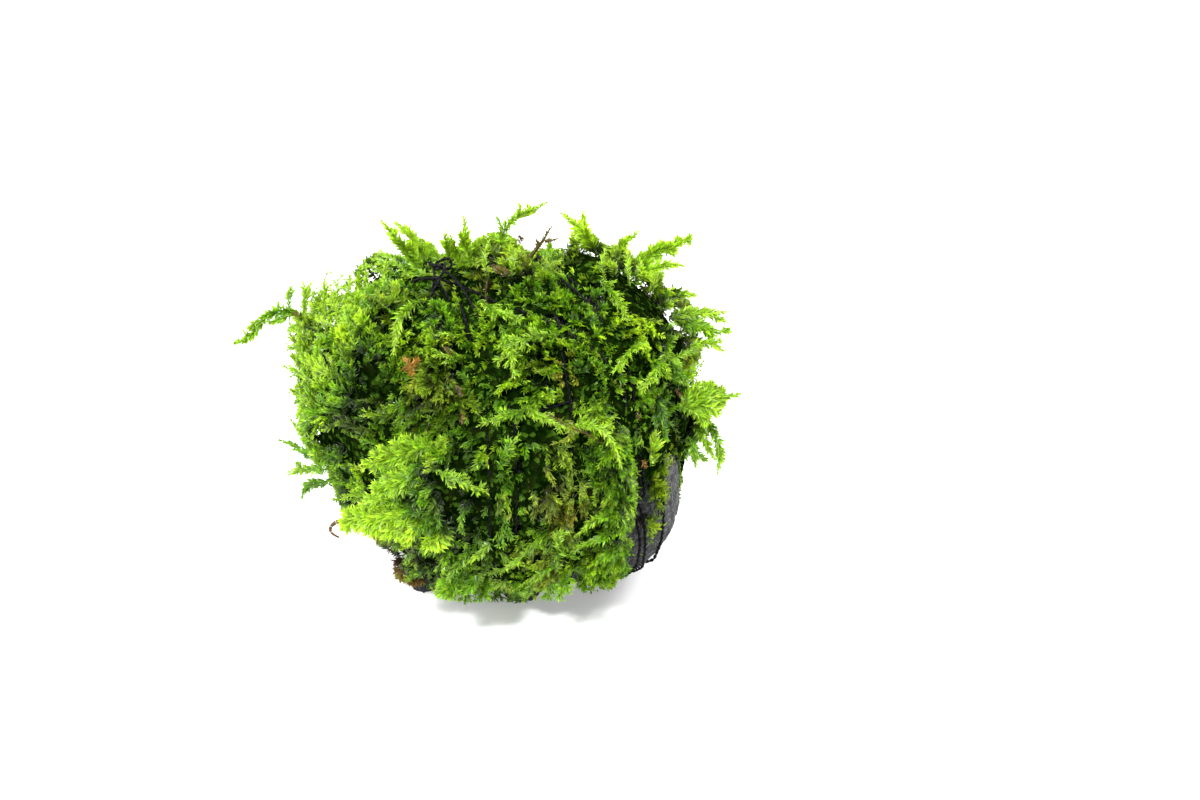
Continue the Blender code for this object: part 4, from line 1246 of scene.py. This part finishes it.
LINE_LEAF = 0.85
LINE_DARKER = 0.06
LINE_RAISED = (0.1, 1.8, 2.5)  # at the first, second and last pixel of a line
LINE_OPENING = 0.85
OVAL_TONE_CHANCE = 0.15
PATCH_LENGTHS = (0.7, 1.3)  # by chance, as shares of the patch's
PATCH_LEAF = 1.1
PATCH_PROUD = 1.2
LOW_ROOT = 1.7  # below the mat's surface
LOW_LENGTHS = (1.8, 3.4)
LOW_PLACES = (  # the middle's pixels, half its width and height, how many, and their shade, low partly as painted shade
    (562, 312, 60, 36, 320, 0.38),
    (458, 318, 26, 22, 80, 0.42),
    (600, 372, 26, 30, 80, 0.34),
    (506, 470, 18, 56, 100, 0.28),
    (610, 478, 30, 50, 150, 0.34),
    (655, 400, 20, 40, 70, 0.40),
    (395, 440, 30, 40, 90, 0.28),
)
SURFACE_LINES = (  # leaf length, shade, age, any side shoots and their reach, the line's pixels from the root
    (1.7, 0.85, 0.0, ((424, 300), (410, 306), (400, 318), (396, 336), (394, 354))),
    (1.5, 0.80, 0.0, 6, 1.6, ((500, 325), (508, 340), (512, 356), (514, 378))),
    (1.4, 0.80, 0.0, 6, 1.6, ((562, 332), (545, 336), (524, 338), (506, 348), (498, 366))),
    (1.4, 0.85, 0.0, 6, 1.4, ((520, 404), (535, 412), (552, 424), (572, 430))),
    (1.3, 0.75, 0.0, 4, 1.4, ((530, 410), (515, 413), (498, 418), (478, 426))),
    (1.6, 0.85, 0.0, 4, 1.2, ((566, 428), (584, 424), (602, 428), (614, 444), (621, 468))),
    (1.5, 0.80, 0.0, 6, 1.8, ((436, 470), (450, 478), (468, 486), (490, 492))),
    (1.5, 0.65, 0.0, 4, 1.4, ((498, 470), (504, 458), (510, 446), (522, 434))),
    (1.4, 0.60, 0.6, ((548, 424), (562, 420), (574, 428), (568, 442), (552, 444))),
    (2.2, 0.85, 0.1, ((650, 466), (653, 455), (654, 444), (656, 432))),
    (1.7, 0.70, 0.0, ((632, 516), (612, 514), (592, 520), (576, 536))),
    (1.7, 0.75, 0.0, ((586, 560), (570, 556), (558, 544), (558, 532), (570, 532))),
    (1.7, 0.65, 0.0, ((632, 528), (612, 534), (594, 540), (576, 548))),
    (1.6, 0.65, 0.0, ((632, 548), (614, 552), (598, 558), (584, 572))),
    (1.6, 0.60, 0.0, ((626, 562), (610, 572), (596, 578), (580, 584))),
    (1.5, 0.70, 0.1, ((540, 540), (528, 552), (514, 562), (500, 574))),
    (1.5, 0.75, 0.1, ((500, 530), (490, 544), (478, 556), (462, 566))),
    (1.5, 0.65, 0.1, ((560, 560), (548, 570), (534, 578), (520, 586))),
    (1.5, 0.60, 0.1, ((470, 545), (462, 560), (452, 572), (446, 584))),
    (1.4, 0.80, 0.0, 4, 1.4, ((640, 340), (630, 352), (620, 366), (606, 380))),
    (1.4, 0.85, 0.0, 4, 1.4, ((668, 350), (660, 366), (650, 378), (640, 394))),
    (1.4, 0.80, 0.0, 4, 1.4, ((600, 280), (612, 292), (622, 306), (628, 322))),
    (1.4, 0.75, 0.0, 4, 1.4, ((480, 300), (492, 310), (504, 316), (522, 318))),
    (1.2, 0.85, 0.0, ((410, 278), (392, 258), (378, 251), (362, 251))),
    (1.1, 0.80, 0.0, ((395, 284), (378, 268), (362, 266), (345, 266))),
    (1.0, 0.75, 0.0, ((396, 276), (386, 264), (378, 260), (372, 260))),
    (1.3, 0.90, 0.0, 9, 1.8, ((326, 336), (325, 312), (326, 290), (327, 271))),
    (1.2, 0.90, 0.0, 9, 1.8, ((337, 336), (337, 310), (338, 292), (340, 274))),
    (1.2, 0.85, 0.0, 9, 1.8, ((346, 330), (348, 306), (350, 286), (353, 267))),
    (1.1, 0.90, 0.0, 6, 1.4, ((318, 334), (317, 314), (319, 298), (321, 284))),
    (0.9, 0.85, 0.0, ((332, 306), (326, 288), (318, 275))),
    (1.2, 0.85, 0.0, ((358, 318), (358, 296), (359, 280), (361, 262))),
    (1.2, 0.85, 0.0, ((370, 310), (368, 292), (367, 278), (366, 262))),
    (1.2, 0.85, 0.0, ((382, 306), (384, 286), (386, 270), (389, 256))),
    (1.1, 0.85, 0.0, 4, 1.4, ((312, 360), (300, 350), (292, 347), (284, 345))),
    (1.2, 0.85, 0.0, 6, 1.6, ((314, 382), (302, 374), (291, 368), (280, 365))),
    (1.2, 0.85, 0.0, 6, 1.6, ((314, 402), (302, 396), (293, 390), (283, 387))),
    (1.1, 0.80, 0.0, ((318, 424), (306, 418), (297, 413), (290, 408))),
    (1.1, 0.80, 0.0, ((320, 446), (308, 438), (300, 432), (294, 427))),
    (1.1, 0.85, 0.0, ((312, 340), (300, 332), (290, 326), (284, 318))),
    (1.2, 0.80, 0.0, ((672, 360), (686, 352), (697, 350), (706, 352))),
    (1.2, 0.80, 0.0, 6, 1.6, ((676, 384), (686, 376), (694, 372), (701, 368))),
    (1.2, 0.85, 0.0, ((556, 268), (552, 256), (550, 248), (549, 240))),
    (1.2, 0.85, 0.0, ((486, 276), (484, 262), (486, 252), (490, 242))),
    (1.2, 0.85, 0.0, ((512, 276), (512, 264), (514, 256), (519, 249))),
    (1.2, 0.90, 0.0, ((604, 282), (602, 266), (603, 256), (606, 246))),
    (1.2, 0.90, 0.0, ((630, 286), (628, 268), (628, 256), (630, 246))),
    (1.3, 0.65, 0.1, 6, 1.8, ((456, 572), (454, 582), (452, 592), (449, 600))),
    (1.3, 0.60, 0.1, 6, 1.8, ((470, 574), (469, 584), (467, 594), (464, 603))),
    (1.3, 0.55, 0.1, 6, 1.8, ((486, 576), (485, 586), (483, 594), (480, 602))),
    (1.3, 0.60, 0.1, 6, 1.8, ((500, 576), (499, 585), (497, 593), (494, 600))),
    (1.3, 0.55, 0.1, 4, 1.6, ((516, 580), (515, 587), (513, 594), (510, 600))),
    (1.3, 0.60, 0.1, 4, 1.6, ((532, 578), (531, 586), (529, 593), (526, 599))),
    (1.3, 0.60, 0.0, 6, 1.8, ((550, 574), (550, 583), (549, 591), (547, 598))),
    (1.3, 0.65, 0.0, 6, 1.8, ((564, 572), (564, 581), (563, 589), (561, 596))),
    (1.2, 0.70, 0.0, 4, 1.4, ((690, 380), (697, 376), (700, 368), (701, 360))),
    (1.2, 0.65, 0.0, 4, 1.4, ((688, 436), (693, 446), (696, 454), (696, 462))),
)
STONE_PATCHES = (  # middle, half the width and height, count, length, shade, age, and the way right and up
    (656, 486, 8, 24, 75, 1.9, 0.72, 0.25, -0.3, 0.4),
    (610, 556, 20, 16, 80, 3.2, 0.60, 0.0, -0.7, -0.6),
    (598, 573, 18, 9, 50, 2.8, 0.50, 0.1, -0.5, -0.8),
    (652, 538, 7, 4, 9, 3.4, 0.75, 0.1, 1.0, 0.2),
    (645, 522, 5, 6, 7, 2.4, 0.65, 0.3, 0.4, 0.4),
    (412, 562, 15, 13, 60, 2.2, 0.35, 0.8, -0.2, -0.6),
)
fronds = grown(FROND_COUNT, FROND_LENGTHS)
singles = grown(SINGLE_COUNT, SINGLE_LENGTHS)
fronds_sides = side_shoots(fronds, SIDE_SHOOTS, SIDE_REACH, SIDE_OPENING)
mat = joined([fronds, fronds_sides, singles, surface_shoots(), low_shoots()])
site = mat["root"] - HEART
azimuth = np.degrees(np.arctan2(site[:, 1], site[:, 0])) % 360
on_top = site[:, 2] > 0.75 * np.linalg.norm(site, axis=1)
SECTORS = (("moss_right", -36, 36), ("moss_back_right", 36, 108), ("moss_back_left", 108, 170),
           ("moss_left", 170, 226), ("moss_front", 226, 276), ("moss_front_right", 276, 324))
for name, start, end in SECTORS:
    inside = ~on_top & ((azimuth - start) % 360 < end - start)
    leafy_piece(name, {key: values[inside] for key, values in mat.items()}, ["moss_mat"], MAT_BARE)
leafy_piece("moss_top", {key: values[on_top] for key, values in mat.items()}, ["moss_mat"], MAT_BARE)
leafy_piece("moss_on_stone", patch_shoots(), ["moss_mat"], PATCH_BARE)

# The fronds that stand clear of the mat, each in place of its packed blade: bright young shoots that follow
# lines seen in the picture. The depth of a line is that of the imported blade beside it.
FROND_LINES = {  # each line: leaf length, shade, any side shoots and their reach, its pixels from the root
    "frond_left_arm": (
        (1.05, 0.60, (
            (308, 318), (293, 311), (278, 312), (268, 314), (259, 321), (251, 335), (240, 343), (230, 342),
        )),
        (0.85, 0.75, ((297, 314), (285, 319), (275, 322), (268, 322))),
        (0.75, 0.80, ((259, 321), (252, 325), (248, 328))),
        (0.65, 0.80, ((250, 337), (246, 333), (244, 330))),
        (0.60, 0.70, ((279, 311), (278, 306), (278, 303))),
    ),
    "frond_left_sprig": (
        (0.80, 0.65, ((289, 312), (290, 300), (291, 292), (293, 285))),
        (0.80, 0.80, ((303, 315), (306, 302), (309, 292), (311, 280))),
        (0.70, 0.85, ((304, 308), (304, 295), (304, 289), (303, 281))),
        (0.60, 0.80, ((310, 303), (314, 297), (316, 291))),
    ),
    "frond_left_thin": (
        (0.75, 0.70, ((315, 458), (307, 441), (299, 429), (289, 415))),
        (0.90, 0.65, ((322, 475), (316, 455), (312, 440))),
    ),
    "frond_left_low": (
        (0.85, 0.55, ((322, 464), (311, 456), (300, 449), (290, 443), (279, 440))),
        (0.95, 0.70, ((325, 470), (312, 468), (300, 470), (287, 474))),
        (0.70, 0.70, ((305, 469), (299, 464), (296, 463))),
    ),
    "frond_left_foot": (
        (0.85, 0.45, ((335, 478), (322, 484), (311, 484), (305, 489), (302, 499))),
        (0.80, 0.60, ((325, 482), (314, 480), (309, 481), (304, 485))),
    ),
    "frond_left_broad": (
        (1.40, 0.90, 22, 5.6, ((438, 505), (415, 512), (392, 516), (366, 520), (343, 521))),
        (1.30, 0.95, 8, 2.6, ((446, 520), (441, 528), (437, 538), (431, 549))),
        (1.10, 0.95, ((446, 524), (443, 508), (428, 512), (412, 509))),
        (1.20, 0.80, 6, 2.6, ((420, 500), (400, 498), (380, 500), (358, 506))),
    ),
    "frond_left_broad_upper": (
        (1.35, 0.80, 12, 3.2, ((436, 447), (415, 450), (392, 458), (366, 464))),
        (1.25, 0.75, 8, 2.8, ((430, 474), (412, 477), (394, 483), (376, 492))),
    ),
    "frond_top_left": (
        (1.05, 0.80, ((416, 268), (407, 252), (400, 241), (392, 230), (381, 222))),
        (0.95, 0.85, ((413, 262), (402, 247), (394, 241))),
        (0.95, 0.80, ((420, 262), (412, 250), (409, 244))),
    ),
    "frond_top_left_second": (
        (1.10, 0.90, ((422, 268), (416, 248), (411, 235), (405, 229), (394, 223))),
        (0.90, 0.80, ((446, 270), (436, 254), (428, 242), (419, 239))),
        (0.95, 0.80, ((428, 262), (423, 250), (420, 245))),
    ),
    "frond_top_middle": (
        (1.05, 0.85, ((470, 268), (468, 255), (467, 238), (465, 219))),
        (0.95, 0.80, ((452, 268), (448, 254), (446, 244), (444, 232))),
        (1.00, 0.85, ((460, 268), (456, 255), (453, 245), (452, 235))),
        (0.90, 0.75, ((470, 255), (475, 248), (483, 237))),
        (0.85, 0.85, ((467, 250), (461, 240), (459, 233))),
    ),
    "frond_top_curved": (
        (0.95, 0.75, ((497, 262), (500, 245), (502, 229), (513, 218), (526, 213), (536, 209), (546, 202))),
        (0.60, 0.85, ((516, 216), (520, 210), (521, 204))),
        (0.55, 0.80, ((527, 212), (529, 207), (529, 204))),
        (0.55, 0.60, ((502, 228), (499, 223), (498, 217))),
        (0.70, 0.75, ((500, 243), (494, 236), (487, 233))),
        (0.80, 0.80, ((499, 255), (506, 246), (509, 240))),
    ),
    "frond_top_back": (
        (1.10, 0.95, ((594, 262), (587, 242), (578, 226), (562, 214))),
        (0.95, 0.95, ((588, 250), (588, 236), (588, 228))),
        (0.95, 0.90, ((598, 262), (592, 246), (590, 240))),
    ),
    "frond_top_back_second": (
        (1.00, 0.95, ((588, 248), (584, 232), (582, 224), (582, 213))),
        (1.00, 0.90, ((574, 268), (575, 254), (574, 243), (572, 231))),
        (0.80, 0.60, ((552, 262), (551, 252), (549, 241))),
    ),
    "frond_top_right": (
        (0.95, 0.80, ((613, 275), (616, 252), (627, 240), (639, 232))),
        (0.90, 0.80, ((612, 268), (611, 255), (609, 247))),
        (0.80, 0.80, ((618, 250), (621, 243), (622, 240))),
    ),
    "frond_upper_right": (
        (1.20, 0.80, 8, 1.2, ((636, 272), (648, 257), (660, 248), (678, 246), (690, 234))),
        (0.95, 0.85, ((640, 270), (648, 258), (652, 250), (657, 245))),
    ),
    "frond_upper_right_second": (
        (1.00, 0.80, ((642, 276), (656, 268), (668, 264), (686, 265))),
        (0.90, 0.80, ((645, 282), (655, 277), (662, 276))),
    ),
    "frond_right_rear": (
        (1.10, 0.80, ((652, 300), (668, 294), (680, 293), (696, 297))),
        (0.90, 0.70, ((664, 305), (680, 302), (690, 306))),
    ),
    "frond_right_high": (
        (0.95, 0.80, ((670, 318), (693, 312), (708, 314), (727, 313))),
        (0.80, 0.80, ((704, 315), (715, 318), (727, 322))),
        (0.80, 0.70, ((676, 318), (688, 308), (696, 310))),
    ),
    "frond_right_middle": (
        (1.25, 0.65, 6, 1.2, ((668, 318), (688, 322), (704, 331), (727, 332))),
        (0.80, 0.70, ((704, 330), (710, 337), (712, 341))),
    ),
    "frond_right_low": (
        (0.85, 0.80, ((690, 346), (702, 344), (714, 346), (725, 351))),
        (0.70, 0.80, ((708, 344), (716, 341), (722, 341))),
    ),
    "frond_right_broad": (
        (1.30, 0.80, 14, 3.8, ((678, 410), (694, 404), (710, 399), (722, 396))),
        (0.70, 0.70, ((718, 397), (728, 396), (744, 393))),
        (1.30, 0.80, 6, 2.0, ((690, 405), (700, 399), (708, 395), (714, 392))),
        (1.20, 0.80, 4, 2.0, ((690, 408), (700, 412), (709, 418))),
    ),
    "frond_right_hanging": (
        (1.00, 0.60, ((698, 412), (709, 424), (717, 437), (721, 453), (719, 471))),
        (1.00, 0.75, ((692, 410), (700, 428), (706, 447), (715, 460))),
        (0.95, 0.65, ((684, 420), (692, 440), (696, 452), (696, 467))),
        (0.80, 0.65, ((696, 452), (701, 459), (706, 460))),
        (0.80, 0.70, ((719, 445), (722, 456), (722, 462))),
    ),
    "frond_front_foot": (
        (1.20, 0.60, 8, 2.0, ((466, 570), (458, 580), (451, 587), (444, 593))),
        (1.10, 0.50, ((480, 575), (470, 586), (460, 594))),
    ),
}
FROND_LEAVES = 1.5
FROND_STEP = 0.21
LINE_CHANCE = 0.15  # by which a line's points are off
FACE_CHANCE = 0.25
BACK_LEAF = 1.2
BACK_SHADE = 0.8
BACK_ARCH = np.array([0, 0, 0.8])  # of its middle over the line from root to tip
BACK_SIDES = (10, 2.6)  # side shoots of each frond behind, and their reach


def ends_of(node):
    """The root and tip of a packed blade: its corners nearest to and farthest from the heart."""
    corners = corners_of(node).reshape(-1, 3)
    distance = np.linalg.norm(corners - HEART, axis=1)
    return corners[[distance.argmin(), distance.argmax()]]


def lined_shoots(node, lines, age=0.0):
    """The shoots of one frond, along its lines in the picture at the depth of its packed blade."""
    pixels, depths = pixel_of(ends_of(node))
    axis = pixels[1] - pixels[0]
    groups = []
    for leaf, shade, *sides, line in lines:
        line = np.array(line, float)
        share = np.clip((line - pixels[0]) @ axis / (axis @ axis), 0, 1)
        places = seen_at(line, depths[0] + (depths[1] - depths[0]) * share)
        places += LINE_CHANCE * chance.normal(size=places.shape)
        face = FACE_CHANCE * chance.normal(size=(1, 3)) - FORWARD
        groups += shoots_along(places, face, sides, leaf=leaf * FROND_LEAVES, shade=shade, age=age)
    return joined(groups)


for node, lines in FROND_LINES.items():
    leafy_piece(node + "_leaves", lined_shoots(node, lines), [node], NO_BARE, FROND_STEP)
for node in ("frond_back_high", "frond_back_right", "frond_back_left"):
    ends = ends_of(node)
    middle = ends.mean(axis=0, keepdims=True)
    outward = unit(middle - HEART) + [0, 0, 0.3]
    more = {"leaf": BACK_LEAF, "shade": BACK_SHADE, "age": 0.0, "proud": FROND_HOLD}
    made = shoots(ends[:1], middle + BACK_ARCH, ends[1:], outward, **more)
    made = joined([made, side_shoots(made, *BACK_SIDES, LINE_OPENING)])
    leafy_piece(node + "_leaves", made, [node], NO_BARE, FROND_STEP)

# What has died: a browned tuft that hangs under the moss in front on the left, a twig without leaves on top,
# a root that curls out at the lower left, and withered stems and leaf scraps caught among the shoots.
TWIG_AGE = 1.35
TWIG_RADIUS = 0.36
WITHERED_RADIUS = 0.15
WITHERED_STEP = 0.6
CURL_RADIUS = 0.62
SCRAP_STEP = 0.25
STEMS_RAISED = 2.3
SCRAPS_RAISED = 2.5
DEAD_OLIVE = (  # leaf length, shade, any side shoots and their reach, the line's pixels from the root
    (1.1, 0.45, 4, 1.4, ((414, 556), (409, 564), (405, 571), (401, 579))),
    (1.0, 0.35, 2, 1.2, ((417, 558), (414, 567), (409, 575), (406, 581))),
)
DEAD_RUST = (
    (1.2, 0.30, 8, 2.0, ((421, 558), (420, 566), (416, 573), (412, 579))),
    (1.1, 0.20, 6, 1.6, ((408, 552), (405, 560), (403, 567), (402, 573))),
)
TWIG_LINES = (
    (0.62, 0.25, ((531, 257), (538, 247), (543, 241), (548, 233), (553, 225))),
    (0.50, 0.25, ((543, 241.5), (551, 239.5), (558.6, 238))),
    (0.45, 0.25, ((539, 246), (536, 242), (535, 239))),
)
WITHERED_STEMS = (  # leaf length, shade, age, then the line's pixels
    (0.35, 0.5, 2.2, ((572, 428), (582, 431), (593, 437), (604, 444))),
    (0.35, 0.5, 2.1, ((546, 413), (551, 415), (556, 418), (562, 422))),
    (0.30, 0.4, 2.0, ((404, 530), (406, 539), (407, 547), (409, 556))),
    (0.30, 0.4, 2.0, ((411, 532), (412, 541), (412, 549), (414, 558))),
    (0.40, 0.4, 1.8, ((384, 528), (390, 531), (396, 534), (402, 540))),
    (0.30, 0.3, 2.0, ((318, 459), (313, 456), (307, 453), (302, 451))),
    (0.30, 0.3, 2.0, ((333, 486), (328, 483), (324, 481), (320, 479))),
    (0.30, 0.4, 1.9, ((488, 281), (486, 290), (486, 299), (488, 306))),
    (0.30, 0.4, 1.9, ((494, 270), (500, 275), (508, 276), (516, 272))),
    (0.10, 0.3, 2.0, ((524, 240), (519, 237), (514, 234))),
)
ROOT_CURL = (
    (0.12, 0.4, 2.3, ((356, 522), (348, 521), (340, 521.5), (334, 524), (331, 529), (334, 534), (341, 537))),
)
LEAF_SCRAPS = (  # leaf length, shade, age, then the line's pixels
    (0.72, 0.4, 2.0, ((520, 246), (522, 242), (523, 237))),
    (0.65, 0.4, 1.9, ((519, 244), (521, 240), (520, 236))),
    (0.72, 0.6, 2.9, ((521, 252), (519, 248), (516, 245))),
    (0.86, 0.7, 2.9, ((412, 367), (408, 362), (405, 358))),
    (0.86, 0.7, 2.9, ((412, 366), (416, 362), (420, 359))),
    (0.86, 0.6, 2.8, ((412, 365), (413, 371), (412, 376))),
    (0.72, 0.5, 2.5, ((412, 366), (407, 367), (403, 370))),
    (0.72, 0.4, 2.0, ((457, 385), (460, 390), (462, 396))),
    (0.65, 0.4, 2.1, ((463, 413), (464, 418), (462, 423))),
    (0.65, 0.4, 1.8, ((446, 346), (448, 350), (451, 354))),
    (0.65, 0.4, 2.0, ((676, 389), (678, 393), (680, 397))),
    (0.65, 0.4, 2.0, ((636, 412), (638, 416), (640, 420))),
    (0.72, 0.4, 1.8, ((501, 267), (505, 271), (509, 273))),
    (0.65, 0.4, 1.8, ((492, 266), (497, 268), (501, 272))),
    (0.79, 0.7, 2.9, ((642, 460), (644, 463), (645, 467))),
    (0.58, 0.6, 2.7, ((715, 428), (717, 431), (718, 435))),
    (0.65, 0.3, 1.6, ((294, 313), (297, 314), (301, 316))),
)


def withered_shoots(lines, raised):
    """Shoots that follow lines of the picture over the moss, of one leaf length, shade and age each."""
    groups = []
    for leaf, shade, age, line in lines:
        places = line_on_moss(np.array(line, float), raised)
        groups += shoots_along(places, -FORWARD, (), leaf=leaf, shade=shade, age=age)
    return joined(groups)


browned = joined([lined_shoots("dead_leaf", DEAD_OLIVE, 1.2), lined_shoots("dead_leaf", DEAD_RUST, 1.9)])
leafy_piece("dead_leaf_tuft", browned, ["dead_leaf"], NO_BARE, FROND_STEP)
twig = lined_shoots("bare_twig", TWIG_LINES, TWIG_AGE)
leafy_piece("bare_twig_stem", twig, ["bare_twig"], NO_BARE, 0.5, 4, TWIG_RADIUS)
for name, lines, stem_steps, radius in (
    ("withered_stems", WITHERED_STEMS, 4, WITHERED_RADIUS),
    ("curled_root", ROOT_CURL, 5, CURL_RADIUS),
):
    made = withered_shoots(lines, STEMS_RAISED)
    leafy_piece(name, made, ["moss_mat"], NO_BARE, WITHERED_STEP, stem_steps, radius)
scraps = withered_shoots(LEAF_SCRAPS, SCRAPS_RAISED)
leafy_piece("leaf_scraps", scraps, ["moss_mat"], NO_BARE, SCRAP_STEP)
